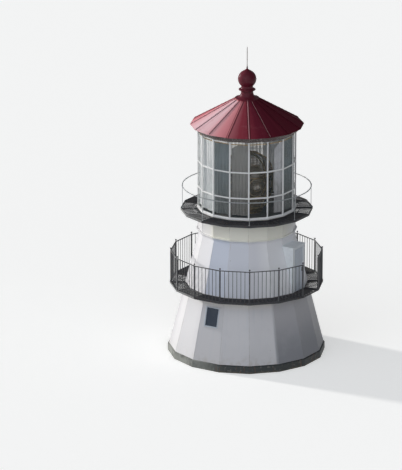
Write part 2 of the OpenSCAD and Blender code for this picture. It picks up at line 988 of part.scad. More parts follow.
module roof_ribs() {
    rib_top_r = vent_base_r + rib_w / 3;
    color("#8c1a23")
        for (k = all_sides)
            corner_piece(k, [
                [eave_r, roof_over(eave_r) + fit],
                [rib_top_r, roof_over(rib_top_r) + fit],
                [rib_top_r, roof_over(rib_top_r) + rib_h],
                [eave_r, roof_over(eave_r) + rib_h]
            ], rib_w);
}

// Ventilator: a turned base, a ball with a pointed cap, and the rod
vent_inner_r = vent_base_r - vent_seat_w;
vent_seat_z = roof_over(vent_base_r) + fit;
vent_neck_z = ball_z - sqrt(ball_r * ball_r - vent_neck_r * vent_neck_r);
vent_collar_z = vent_neck_z - vent_neck_h;
cap_z = sqrt(ball_r * ball_r - cap_r * cap_r);

module ventilator_base() {
    flange_top = vent_seat_z + vent_flange_h;
    flare_r = vent_base_r - vent_ledge_w;
    flare_z = vent_collar_z - vent_collar_h / 2 - vent_ledge_w;
    cove = [for (a = [0:15:90]) [
        flare_r - (flare_r - vent_neck_r) * sin(a),
        flange_top + (flare_z - flange_top) * (1 - cos(a))
    ]];
    bevel = vent_collar_h / 6;
    neck_lip = vent_neck_r - bevel;
    color("#8c1a23")
        rotate_extrude()
            polygon(concat(
                [[0, roof_over(vent_inner_r) + fit], [vent_inner_r, roof_over(vent_inner_r) + fit]],
                [[vent_base_r, vent_seat_z], [vent_base_r, flange_top]],
                cove,
                [[vent_neck_r, vent_collar_z - vent_collar_h / 2]],
                [[vent_collar_r, vent_collar_z - vent_collar_h / 2 + bevel]],
                [[vent_collar_r, vent_collar_z + vent_collar_h / 2 - bevel]],
                [[vent_neck_r, vent_collar_z + vent_collar_h / 2]],
                [[neck_lip, vent_neck_z - fit], [0, vent_neck_z - fit]]
            ));
}

module ventilator_ball() {
    low_a = asin(vent_neck_r / ball_r);
    high_a = 180 - asin(cap_r / ball_r);
    steps = 20;
    ball = [for (i = [0:steps])
        let(a = low_a + (high_a - low_a) * i / steps)
        [ball_r * sin(a), -ball_r * cos(a)]
    ];
    color("#8c1a23")
        translate([0, 0, ball_z])
            rotate_extrude()
                polygon(concat(
                    [[0, vent_neck_z - ball_z]],
                    ball,
                    [[rod_d, cap_z + cap_h * 0.7], [rod_d * 0.8, cap_z + cap_h], [0, cap_z + cap_h]]
                ));
}

module lightning_rod() {
    shaft_h = rod_up - cap_z - cap_h - rod_tip_h;
    color("#3b3436")
        translate([0, 0, ball_z + cap_z + cap_h]) {
            cylinder(h = shaft_h, d = rod_d);
            translate([0, 0, shaft_h])
                cylinder(h = rod_tip_h, d1 = rod_d, d2 = rod_d / 8);
        }
}

// Lamp: a pedestal that carries the lens
lens_foot_r = lens_r - lens_foot_in;
lens_foot_z = lantern_floor_top + lens_up;
belt_low_z = lens_foot_z + lens_low_h;
belt_high_z = belt_low_z + lens_belt_h;
lens_top_z = belt_high_z + lens_high_h;

module lens_pedestal() {
    table_r = lens_foot_r + fit + lens_rib_d;
    table_low = lens_up - pedestal_plate_t;
    color("#6a5436")
        translate([0, 0, lantern_floor_top])
            rotate_extrude()
                polygon(concat(
                    [[0, 0], [pedestal_foot_r, 0], [pedestal_foot_r, pedestal_plate_t]],
                    [[pedestal_waist_r, 2 * pedestal_plate_t]],
                    hollow([pedestal_waist_r, 3 * pedestal_plate_t], [table_r - pedestal_plate_t, table_low]),
                    [[table_r, table_low], [table_r, lens_up - fit], [0, lens_up - fit]]
                ));
}

// Lens: outlines of its three parts, from the foot up
low_outline = [for (i = [0:prisms_low]) [
    lens_foot_r + lens_foot_in * i / prisms_low,
    lens_foot_z + lens_low_h * i / prisms_low
]];
high_outline = [for (i = [0:prisms_high]) [
    lens_top_r + (lens_r - lens_top_r) * cos(90 * i / prisms_high),
    belt_high_z + lens_high_h * sin(90 * i / prisms_high)
]];

// Ring of glass with a three-cornered section, its face on the outline and its edge inwards
module prism_ring(outline, i) {
    across = outline[i + 1] - outline[i];
    face_low = outline[i] + across * prism_gap / 2;
    face_high = outline[i + 1] - across * prism_gap / 2;
    inwards = [-across[1], across[0]] / norm(across);
    rotate_extrude()
        polygon([face_low, face_high, (face_low + face_high) / 2 + prism_d * inwards]);
}

// Belt with a bulging middle and steps that lean towards it
function belt_face(j) =
    let(
        step_h = (lens_belt_h - 2 * fit) / belt_steps,
        low = belt_low_z + fit + j * step_h,
        middle = (belt_steps - 1) / 2,
        thin_r = lens_r - belt_step_d
    )
    j < middle ? [[thin_r, low], [lens_r, low + step_h]] :
    j > middle ? [[lens_r, low], [thin_r, low + step_h]] :
    [for (s = [-1:0.25:1]) [lens_r - belt_step_d * s * s, low + step_h * (s + 1) / 2]];

module lens_belt() {
    rotate_extrude()
        polygon(concat(
            [[lens_r - belt_t, belt_low_z + fit]],
            [for (j = [0:belt_steps - 1]) each belt_face(j)],
            [[lens_r - belt_t, belt_high_z - fit]]
        ));
}

// Round convex lenses, one in the middle of each panel between two ribs
module lens_eyes() {
    eye_r = eye_d / 2;
    cap_h = belt_t / 2 + eye_out;
    ball = (eye_r * eye_r + cap_h * cap_h) / (2 * cap_h);
    reach = asin(eye_r / ball);
    face = [for (i = [0:5]) [ball * sin(reach * i / 5), ball * cos(reach * i / 5) - ball + cap_h]];
    for (i = [0:lens_ribs - 1])
        rotate([0, 0, (i + 0.5) * 360 / lens_ribs])
            translate([lens_r - belt_t / 2, 0, (belt_low_z + belt_high_z) / 2])
                rotate([0, 90, 0])
                    rotate_extrude($fn = 24)
                        polygon(concat([[0, 0]], backwards(face)));
}

module lens_glass() {
    color("#8a6a3a", 0.8) {
        for (i = [0:prisms_low - 1])
            prism_ring(low_outline, i);
        lens_belt();
        lens_eyes();
        for (i = [0:prisms_high - 1])
            prism_ring(high_outline, i);
    }
}

// Frame of the lens: upright ribs outside the prisms, under a crown
module lens_frame() {
    outline = concat(low_outline, high_outline);
    seat = shifted(outline, fit);
    face = shifted(outline, fit + lens_rib_d);
    foot = [[lens_foot_r + fit, lens_foot_z], [lens_foot_r + fit + lens_rib_d, lens_foot_z]];
    inside = [for (p = backwards(seat)) if (p[1] > lens_foot_z) p];
    outside = [for (p = face) if (p[1] > lens_foot_z) p];
    crown_z = lens_top_z + lens_rib_d / 2;
    color("#7a5a2c") {
        for (i = [0:lens_ribs - 1])
            rotate([90, 0, i * 360 / lens_ribs])
                linear_extrude(lens_rib_w, center = true)
                    polygon(concat(inside, foot, outside));
        translate([0, 0, crown_z]) {
            cylinder(h = crown_h, r = lens_top_r + lens_rib_d);
            translate([0, 0, crown_h])
                cylinder(h = crown_cone_h, r1 = lens_top_r * 0.7, r2 = lens_rib_d);
        }
    }
}

// Curtains inside the panes
curtain_top_z = glass_top_z - curtain_top_d;
rail_out_r = glazing_in_r - fit;
cloth_out_r = rail_out_r - curtain_rail_t - fit;

module curtain_rail() {
    color("#b9b4a8")
        side_ring(box_profile(
            rail_out_r - curtain_rail_t, rail_out_r,
            curtain_top_z - curtain_rail_h, curtain_top_z
        ));
}

module curtains() {
    color("#b9bdb6")
        side_ring(
            box_profile(cloth_out_r - curtain_t, cloth_out_r, sill_top_z + curtain_hem_up, curtain_top_z),
            [curtain_first:curtain_first + curtain_sides - 1]
        );
}

plinth();
ground_floor();
lower_wall_front();
lower_wall_right();
lower_wall_back();
lower_wall_left();
window_frame();
window_glass();
floor_shelf();
gallery_floor();
gallery_beams();
gallery_grating();
gallery_posts();
gallery_railing_right();
gallery_railing_left();
upper_wall_front();
upper_wall_right();
upper_wall_back();
upper_wall_left();
door_porch();
gallery_door();
collar_moulding();
neck_plates();
lantern_gallery_beams();
lantern_gallery_grating();
handrail();
handrail_stanchions();
lantern_floor();
lantern_sill();
glazing_posts();
glazing_rings();
lantern_glass_low();
lantern_glass_middle();
lantern_glass_high();
lantern_cornice();
roof_plates();
roof_ribs();
ventilator_base();
ventilator_ball();
lightning_rod();
lens_pedestal();
lens_frame();
lens_glass();
curtain_rail();
curtains();
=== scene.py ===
"""Looks of a sixteen-sided iron lighthouse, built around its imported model.

Lengths are in metres. The tower's axis is +Z, corner 0 points along -Y, and side k lies between
corners k and k + 1, counted anticlockwise seen from above. A name ends in _R for a radius, mostly
that of the corners, in _Z for a height above the ground, and in _W, _H, _L or _T for a piece's own
width, height, length or thickness.
"""

import json
import math
import random

import bmesh
import bpy
from bpy.props import FloatProperty, FloatVectorProperty, IntProperty, PointerProperty
from mathutils import Matrix, Vector


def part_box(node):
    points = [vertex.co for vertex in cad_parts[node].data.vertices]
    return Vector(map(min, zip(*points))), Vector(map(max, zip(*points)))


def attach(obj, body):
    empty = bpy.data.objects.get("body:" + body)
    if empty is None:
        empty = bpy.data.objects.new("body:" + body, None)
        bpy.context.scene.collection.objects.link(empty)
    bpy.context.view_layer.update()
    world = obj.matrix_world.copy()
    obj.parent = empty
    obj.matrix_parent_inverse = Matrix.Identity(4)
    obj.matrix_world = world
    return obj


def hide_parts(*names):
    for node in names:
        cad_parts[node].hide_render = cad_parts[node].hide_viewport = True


bl_info = {
    "name": "Lighthouse looks",
    "version": (1, 0, 0),
    "blender": (4, 5, 0),
    "location": "3D View > Sidebar > Lighthouse",
    "description": "Finishes, fittings, curtains and studio for a sixteen-sided lighthouse",
    "category": "Object",
}

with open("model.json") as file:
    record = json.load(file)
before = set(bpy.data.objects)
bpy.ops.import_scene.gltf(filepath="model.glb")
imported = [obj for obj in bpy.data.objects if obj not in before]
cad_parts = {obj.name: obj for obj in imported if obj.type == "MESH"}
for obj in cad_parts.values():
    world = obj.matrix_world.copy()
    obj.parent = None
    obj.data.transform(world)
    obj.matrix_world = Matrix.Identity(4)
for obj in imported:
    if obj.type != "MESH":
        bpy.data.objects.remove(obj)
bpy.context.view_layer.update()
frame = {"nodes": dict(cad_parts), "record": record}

SIDES = 16
SIDE_ANGLE = 2 * math.pi / SIDES
HALF_ANGLE = SIDE_ANGLE / 2
SLOT_OF = {part["node"]: part["material_slot"] for part in frame["record"]["subparts"]}


def reach(node):
    """Corner radius of a ring-shaped node."""
    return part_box(node)[1].x


def top(node):
    """Height of a node's top."""
    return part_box(node)[1].z


def foot(node):
    """Height of a node's foot."""
    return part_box(node)[0].z


CLEAR = 0.0003  # keeps a fitting's foot off the face under it

# Wall
PLINTH_R = reach("plinth")
PLINTH_TOP_Z = top("plinth")
WALL_FOOT_R = reach("lower_wall_right")
WALL_TOP_R = 1.865
WALL_TOP_Z = top("upper_wall_right")
WALL_TAPER = (WALL_FOOT_R - WALL_TOP_R) / (WALL_TOP_Z - PLINTH_TOP_Z)
WALL_LEAN = math.atan(WALL_TAPER)
BEAM_Z = 2.700
UPPER_WALL_Z = 2.86
COLLAR_R = reach("collar_moulding")
COLLAR_TOP_Z = top("collar_moulding")
NECK_R = reach("neck_plates")

# Galleries
GALLERY_Z = foot("gallery_posts")
GALLERY_R = reach("gallery_grating")
POST_R = 2.954
DECK_Z = foot("handrail_stanchions")
DECK_R = reach("lantern_gallery_grating")
GRATE_T = 0.030
RIM_T = 0.010
PANEL_FRAME_W = 0.024
SLOT_PITCH = 0.072
# Height of each gallery's top, and corner radii of the clips on it
CLIP_RADII = ((GALLERY_Z, (2.47, 2.67, 2.86)), (DECK_Z, (1.98, 2.24, 2.42)))
DECK_BEAM_Z = DECK_Z - GRATE_T - 0.054
NECK_STRAP_TOP_Z = DECK_Z - 0.135
HANDRAIL_R = 2.5
HANDRAIL_Z = 6.703

# Lantern
SILL_R = reach("lantern_sill")
SILL_TOP_Z = top("lantern_sill")
GLAZING_R = reach("glazing_rings")
GLASS_TOP_Z = top("glazing_posts")
RING_LOW_Z = 6.688
RING_HIGH_Z = 7.712
RING_HALF_H = 0.023
CORNICE_STRAP_R = 2.000
CORNICE_LOW_Z = 9.006
CORNICE_HIGH_Z = 9.085
CORNICE_SLANT = math.atan((2.112 - 1.971) / (9.098 - 8.983))

# Roof
EAVE_R = reach("roof_plates")
EAVE_Z = foot("roof_plates")
ROOF_TOP_R = 0.42
ROOF_TOP_Z = top("roof_plates")
ROOF_T = 0.024
ROOF_SLOPE = (ROOF_TOP_Z - EAVE_Z - ROOF_T) / (EAVE_R - ROOF_TOP_R)
RIB_H = 0.030
VENT_BASE_R = reach("ventilator_base")
VENT_FLANGE_Z = 10.2145
VENT_COLLAR_Z = 10.536
BALL_Z = 10.952
BALL_CAP_Z = 11.296
ROD_SOCKET_Z = 11.385
ROD_COLLARS_Z = (11.72, 12.0)

# Door and window
DOOR_SIDE = 2
DOOR_W = 0.610
DOOR_H = 1.710
STILE_W = 0.096
LOCK_UP = 0.820
WINDOW_SIDE = 14
WINDOW_Z = 2.005
WINDOW_W = 0.600
WINDOW_H = 0.790
WINDOW_FRAME_W = 0.034
SILL_L = 0.660

# Lens
LENS_R = 0.980
LENS_RIBS = 8
LENS_RIB_FACE_R = LENS_R + 0.0338
BELT_LOW_Z = 6.468
BELT_HIGH_Z = 7.228
LENS_FOOT_BAND = (0.757, 5.985)

# Curtains
RAIL_R = reach("curtain_rail") - 0.005
RAIL_Z = (foot("curtain_rail") + top("curtain_rail")) / 2
CURTAIN_R = reach("curtain_rail") - 0.016
CURTAIN_TOP_Z = foot("curtain_rail") + 0.004
CLOTH_T = 0.0016
CLOTH_SEED = 70
THREAD_PITCH = 0.004
# Counts of sides along the rail at which each curtain starts and ends
DROPS = [(1.47, 3.94), (4.04, 6.97), (7.03, 9.96), (10.05, 12.02), (12.06, 14.96), (15.06, 15.97)]
# Depth, steepness and curve of the slack corner at a curtain's start
SLACK = {0: (0.26, 5.5, 1.4), 5: (0.17, 2.1, 1.6)}


def wall_r(z):
    """Corner radius of the leaning wall at a height."""
    return WALL_FOOT_R - (z - PLINTH_TOP_Z) * WALL_TAPER


def roof_z(r):
    """Height of the roof plates' upper face at a corner radius."""
    return EAVE_Z + ROOF_T + (EAVE_R - r) * ROOF_SLOPE


def corner_dir(k):
    """Direction of corner k in radians."""
    return -math.pi / 2 + SIDE_ANGLE * k


def side_dir(k):
    """Direction of the middle of side k in radians."""
    return corner_dir(k + 0.5)


def flat_r(r):
    """Distance of a side's middle from the axis, for a corner radius."""
    return r * math.cos(HALF_ANGLE)


def half_side(r):
    """Half of a side's width, for a corner radius."""
    return r * math.sin(HALF_ANGLE)


PORCH_X = flat_r(wall_r(GALLERY_Z)) + 0.026
DOOR_X = PORCH_X - 0.012


# Settings


CAMERA_TARGET_Z = 5.5


def number_setting(name, description, default, **kind):
    return FloatProperty(name=name, description=description, default=default, **kind)


def length_setting(name, description, default):
    return number_setting(name, description, default, unit="LENGTH")


def angle_setting(name, description, degrees):
    return number_setting(
        name, description, math.radians(degrees), subtype="ANGLE", unit="ROTATION")


def colour_setting(name, description, *default):
    return FloatVectorProperty(
        name=name, description=description, default=default, subtype="COLOR", size=3)


class LighthouseFittings(bpy.types.PropertyGroup):
    """Sizes of the fittings and the curtains."""

    bolt_d: length_setting("Bolt width", "Width of the bolt heads", 0.022)
    rivet_d: length_setting("Rivet width", "Width of the rivet heads", 0.024)
    fold_depth: length_setting("Fold depth", "Depth of the curtains' folds at the hem", 0.034)
    folds_per_side: IntProperty(
        name="Folds per side", description="Curtain folds along one side of the lantern", default=5)
    fullness: number_setting(
        "Fullness", "Flat width of a curtain for each metre of rail that it covers", 1.14,
        subtype="FACTOR")
    hem_up: length_setting("Hem height", "Height of the curtains' hem above the sill", 0.092)


class LighthouseColours(bpy.types.PropertyGroup):
    """Main colours of the finishes."""

    wall: colour_setting("Wall", "White oil paint", 0.705, 0.695, 0.715)
    roof: colour_setting("Roof", "Red oil paint", 0.160, 0.016, 0.034)
    iron: colour_setting("Ironwork", "Black paint on railings and beams", 0.022, 0.023, 0.027)
    plinth: colour_setting("Plinth", "Dark paint on the plinth", 0.030, 0.035, 0.036)
    glazing: colour_setting("Glazing bars", "Cream-white paint", 0.97, 0.96, 0.95)
    # The cornice's dark colour is painted shade under the eave.
    cornice: colour_setting("Cornice", "Weathered undercoat", 0.11, 0.082, 0.078)
    curtain: colour_setting("Curtains", "Undyed cotton", 0.27, 0.305, 0.315)


class LighthouseStudio(bpy.types.PropertyGroup):
    """Camera and light."""

    azimuth: angle_setting("Azimuth", "Turn of the camera round the tower", -2.37)
    elevation: angle_setting("Elevation", "Angle of the camera above the ground", 16.76)
    distance: length_setting("Distance", "Distance of the camera from the tower's middle", 155.5)
    lens: number_setting("Lens", "Focal length in millimetres", 306.4)
    aim_left: length_setting("Aim left", "How far left of the tower's axis the camera aims", 1.773)
    aim_down: length_setting("Aim down", "How far below the tower's middle the camera aims", 0.805)
    sun_strength: number_setting("Sun strength", "Strength of the key light", 2.9)
    sun_softness: angle_setting("Sun softness", "Angle that the key light covers", 4)
    sun_direction: angle_setting("Sun direction", "Direction that the key light comes from", 148)
    sun_height: angle_setting("Sun height", "Angle of the key light above the ground", 13)
    sky_dark: number_setting("Dark sky", "Strength of the light from the back right", 0.18)
    sky_bright: number_setting("Bright sky", "Strength of the light from the front left", 1.09)
    floor_reach: length_setting(
        "Floor reach", "Distance that the floor reaches from the tower", 420.0)


def sizes():
    """The fittings' sizes, as they are set in the scene."""
    return bpy.context.scene.lighthouse_fittings


# Materials


class Wire:
    """A node's output that arithmetic can be written on."""

    def __init__(self, finish, socket):
        self.finish = finish
        self.socket = socket

    def part(self, name):
        """Another output of the same node."""
        return Wire(self.finish, self.socket.node.outputs[name])

    def towards(self, degrees):
        """How far a vector, of which this is the X part, points in a direction round the tower."""
        turn = math.radians(degrees)
        return self * math.cos(turn) + self.part("Y") * math.sin(turn)

    def step(self, low, high, soft="SMOOTHSTEP"):
        """0 below low and 1 above high; low may be the larger."""
        inputs = {"Value": self, "From Min": min(low, high), "From Max": max(low, high)}
        if low > high:
            inputs.update({"To Min": 1.0, "To Max": 0.0})
        return self.finish.node("MapRange", {"interpolation_type": soft}, inputs)

    def __add__(self, other):
        return self.finish.calc("ADD", self, other)

    def __sub__(self, other):
        return self.finish.calc("SUBTRACT", self, other)

    def __rsub__(self, other):
        return self.finish.calc("SUBTRACT", other, self)

    def __mul__(self, other):
        return self.finish.calc("MULTIPLY", self, other)

    def __abs__(self):
        return self.finish.calc("ABSOLUTE", self)

    __radd__ = __add__
    __rmul__ = __mul__


class Finish:
    """A material, or a world, that is built node by node."""

    def __init__(self, name, world=False):
        self.owner = (bpy.data.worlds if world else bpy.data.materials).new(name)
        self.owner.use_nodes = True
        self.tree = self.owner.node_tree
        self.tree.nodes.clear()
        self.place = self.node("TexCoord", output="Generated" if world else "Object")
        self.x = self.parts(self.place)
        self.y = self.x.part("Y")
        self.z = self.x.part("Z")

    def node(self, kind, settings=None, inputs=None, output=0):
        """Adds a node, with its settings first and then the values or links of its sockets."""
        node = self.tree.nodes.new("ShaderNode" + kind)
        for name, value in (settings or {}).items():
            if name == "stops":
                ramp = node.color_ramp
                while len(ramp.elements) < len(value):
                    ramp.elements.new(0.5)
                for element, (position, shade) in zip(ramp.elements, value):
                    element.position = position
                    element.color = (*shade, 1)
            else:
                setattr(node, name, value)
        for name, value in (inputs or {}).items():
            if isinstance(value, Wire):
                self.tree.links.new(value.socket, node.inputs[name])
            else:
                node.inputs[name].default_value = value
        return Wire(self, node.outputs[output]) if node.outputs else None

    def calc(self, operation, *values):
        """Arithmetic on numbers or outputs."""
        return self.node("Math", {"operation": operation}, dict(enumerate(values)))

    def parts(self, vector):
        """The X part of a vector, whose node has the others too."""
        return self.node("SeparateXYZ", inputs={"Vector": vector})

    def vector(self, x, y, z):
        """A vector from its parts."""
        return self.node("CombineXYZ", inputs={"X": x, "Y": y, "Z": z})

    def on_vectors(self, operation, *vectors, output=0):
        """Arithmetic on vectors."""
        return self.node(
            "VectorMath", {"operation": operation}, dict(enumerate(vectors)), output)

    def stretched(self, scale):
        """Object coordinates with a scale for each axis."""
        return self.node("Mapping", inputs={"Vector": self.place, "Scale": scale})

    def cloud(self, size, detail=3.0, rough=0.55, place=None):
        """Soft noise from 0 to 1 whose features are about size metres."""
        return self.node("TexNoise", inputs={
            "Vector": place or self.place, "Scale": 1 / size, "Detail": detail, "Roughness": rough})

    def specks(self, size):
        """Distance from the middle of scattered cells of about size metres."""
        return self.node("TexVoronoi", inputs={"Vector": self.place, "Scale": 1 / size})

    def mix(self, base, other, share):
        """Colour that goes from base to other by share."""
        ends = [value if isinstance(value, Wire) else (*value, 1.0) for value in (base, other)]
        return self.node("Mix", {"data_type": "RGBA"}, {
            0: share, 6: ends[0], 7: ends[1]}, output=2)

    def coats(self, body, *coats):
        """Colour of a body under coats of (colour, share), the last one outermost."""
        for colour, share in coats:
            body = self.mix(body, colour, share)
        return body

    def bump(self, height, depth, strength, normal=None):
        """Relief of a depth, on top of another normal where one is given."""
        inputs = {"Height": height, "Distance": depth, "Strength": strength}
        if normal:
            inputs["Normal"] = normal
        return self.node("Bump", inputs=inputs)

    def round_tower(self):
        """Direction round the axis as two numbers from -1 to 1, with no break anywhere."""
        unit = self.on_vectors("NORMALIZE", self.vector(self.x, self.y, 0.0))
        return self.parts(unit)

    def face_normal(self):
        """Parts of the direction that a face is turned to."""
        return self.parts(self.node("NewGeometry", output="Normal"))

    def facing(self, degrees, wide, soft):
        """1 on the sides that face a direction, within wide degrees, and 0 from soft degrees on."""
        towards = self.round_tower().towards(degrees)
        return towards.step(math.cos(math.radians(soft)), math.cos(math.radians(wide)))

    def out_turn(self):
        """How far a face is turned outwards, from -1 to 1."""
        unit, normal = self.round_tower(), self.face_normal()
        return unit * normal + unit.part("Y") * normal.part("Y")

    def exposed(self):
        """1 on faces turned to the low sun, 0 on the others."""
        return self.face_normal().towards(LOW_SUN_TURN).step(0.15, 0.6)

    def runs(self, width, length, detail=2.0):
        """Noise in streaks that run down the tower, width being a share of the radius."""
        unit = self.round_tower()
        place = self.vector(unit * (1 / width), unit.part("Y") * (1 / width), self.z * (1 / length))
        return self.cloud(1.0, detail, 0.6, place)

    def side_count(self):
        """Number of sides, with fractions, from corner 0 to a point's direction."""
        return (self.calc("ARCTAN2", self.y, self.x) + math.pi / 2) * (1 / SIDE_ANGLE)

    def plate_tone(self, series):
        """A random number from 0 to 1 for each side of the tower."""
        index = self.calc("FLOOR", self.side_count())
        return self.node("TexWhiteNoise", {"noise_dimensions": "1D"}, {
            "W": index + series})

    def corner_gap(self):
        """Distance to the nearest corner, as a share of a side."""
        return 0.5 - abs(self.calc("FRACT", self.side_count()) - 0.5)

    def principled(self, colour, roughness, normal=None, **others):
        """A Principled BSDF, with low lines for the spaces in its other inputs' names."""
        inputs = {name.replace("_", " "): value for name, value in others.items()}
        inputs.update({"Base Color": colour, "Roughness": roughness})
        if normal:
            inputs["Normal"] = normal
        return self.node("BsdfPrincipled", inputs=inputs)

    def shade(self, *surface, **others):
        """Ends the material in a Principled BSDF."""
        return self.end(self.principled(*surface, **others))

    def end(self, surface, owner="Material"):
        """Ends the material, or the world, in a shader."""
        self.node("Output" + owner, inputs={"Surface": surface})
        return self.owner


def tint(colour, factor):
    """A colour made lighter or darker."""
    return tuple(min(1.0, part * factor) for part in colour)


# Direction round the tower of the sides painted as sunlit: lighter wall and plinth, pale glare on
# the roof
LIT_SIDE_TURN = 205.0
LOW_SUN_TURN = 152.0
RUST = (0.16, 0.062, 0.026)
DUST = (0.42, 0.36, 0.29)
# pale grey on iron faces turned to the sun: chalk, and painted light
SUNLIT_CHALK = (0.36, 0.365, 0.36)


def wall_finish(colours):
    """White oil paint on iron plates: plate tones, runs, a tan film and soil runs under the
    gallery, rust at seams; with painted light, lighter under the gallery, on the upper wall, the
    neck and the sunlit sides, and bluish and darker painted shade on others.
    """
    f = Finish("white_wall_paint")
    paint = colours.wall
    blotch = f.cloud(0.9, 4.0)
    under = f.z.step(BEAM_Z - 0.40, BEAM_Z) * f.z.step(2.83, 2.77)
    above = f.z.step(2.78, UPPER_WALL_Z)
    splash = f.z.step(0.75, 0.27) * f.cloud(0.22, 4.0).step(0.42, 0.7)
    # front sides, where shade is lifted with painted light
    painted_front_lift = f.facing(270.0, 40, 78)
    # painted shade: bluish and darker on the upper wall's front-left sides
    painted_blue_shade = f.facing(236.25, 10.5, 11.5) * 0.35 + f.facing(247.5, 22, 23) * 0.28
    # painted shade: darker right-front sides of the lower wall, darkest towards the foot
    painted_lee_shade = f.facing(344.0, 52, 54) * f.facing(300.0, 38, 95) * f.z.step(2.76, BEAM_Z)
    painted_foot_shade = painted_lee_shade * f.z.step(2.5, 0.3) * blotch.step(0.0, 0.5)
    seam = f.corner_gap().step(0.011, 0.004) * f.cloud(0.3).step(0.35, 0.6)
    rust = f.corner_gap().step(0.10, 0.0) * f.runs(0.02, 0.9).step(0.60, 0.74)
    chips = f.specks(0.16).step(0.085, 0.06) * f.cloud(0.5).step(0.56, 0.64)
    body = f.coats(
        f.mix(tint(paint, 0.955), tint(paint, 1.03), f.plate_tone(3.0)),
        (tint(paint, 0.93), blotch.step(0.45, 0.75) * 0.5),
        ((0.60, 0.62, 0.66), f.runs(0.035, 1.6, 3.0).step(0.52, 0.78) * 0.38),  # rain
        ((0.93, 0.87, 0.79), under * 0.85),  # tan film, and painted light lifting the shade under the gallery
        ((0.56, 0.49, 0.43), under * f.runs(0.012, 0.7, 3.0).step(0.45, 0.8) * 0.35),
        (DUST, splash * 0.38),
        ((0.86, 0.87, 0.94), above * (0.2 + painted_front_lift * 0.45)),  # painted light: lighter, bluish upper wall, most on the front
        # painted light: lighter upper wall on the front-right sides
        ((0.95, 0.95, 0.97), above * f.facing(322.0, 28, 46) * 0.8),
        ((0.68, 0.75, 0.90), above * painted_blue_shade),
        ((0.98, 0.96, 0.86), f.z.step(4.90, 5.03) * (0.15 + painted_front_lift * 0.85)),  # neck made lighter and creamier, most on the front: painted light in the deck's shade
        ((0.85, 0.84, 0.85), f.facing(LIT_SIDE_TURN, 12, 22) * 0.6),  # painted light: lighter sides that face the sun
        # painted shade on the right-front sides of the lower wall
        ((0.50, 0.49, 0.51), painted_lee_shade * 0.7),
        ((0.20, 0.21, 0.24), painted_foot_shade * 0.85),
        ((0.50, 0.49, 0.50), f.z.step(1.6, 0.2) * 0.22),  # foot
        ((0.45, 0.44, 0.43), seam * 0.55),
        ((0.42, 0.27, 0.17), rust * 0.5),
        (RUST, chips * 0.6))
    swell = f.bump(f.cloud(0.35, 2.0), 0.010, 0.35)
    return f.shade(
        body, 0.42 + blotch * 0.28 + chips * 0.2,
        f.bump(f.cloud(0.012, 2.0), 0.0006, 0.5, swell), Coat_Weight=0.06, Coat_Roughness=0.25)


def plinth_finish(colours):
    """Dark paint worn along the edges, with salt bloom, and painted light: pale grey-green on the
    sides that face the sun.
    """
    f = Finish("plinth_paint")
    paint = colours.plinth
    bloom = f.cloud(0.13, 4.0).step(0.56, 0.72)
    damp = f.z.step(0.10, 0.0) * f.cloud(0.2, 3.0).step(0.3, 0.7)
    # painted light: pale grey-green on the sides toward the sun, mottled like salt
    salt = f.facing(LIT_SIDE_TURN, 15, 48) * f.cloud(0.5).step(0.2, 0.6)
    body = f.coats(
        f.mix(tint(paint, 0.75), tint(paint, 1.5), f.cloud(0.28, 5.0)),
        ((0.30, 0.29, 0.26), bloom * 0.45),
        ((0.16, 0.14, 0.10), damp * 0.8),
        (RUST, f.runs(0.02, 0.5).step(0.58, 0.72) * 0.5),
        ((0.34, 0.35, 0.32), salt * 0.8))
    return f.shade(body, 0.55 + bloom * 0.3, f.bump(f.cloud(0.02, 4.0), 0.002, 0.6))


def concrete_finish(shade):
    """Trowelled concrete with fine sand and dark stains."""
    f = Finish("ground_concrete")
    body = f.coats(
        f.mix(tint(shade, 0.8), tint(shade, 1.12), f.cloud(0.5, 6.0, 0.65)),
        (tint(shade, 0.5), f.cloud(0.9, 4.0).step(0.58, 0.75) * 0.5))
    return f.shade(body, 0.9, f.bump(f.cloud(0.01, 5.0, 0.7), 0.002, 0.7))


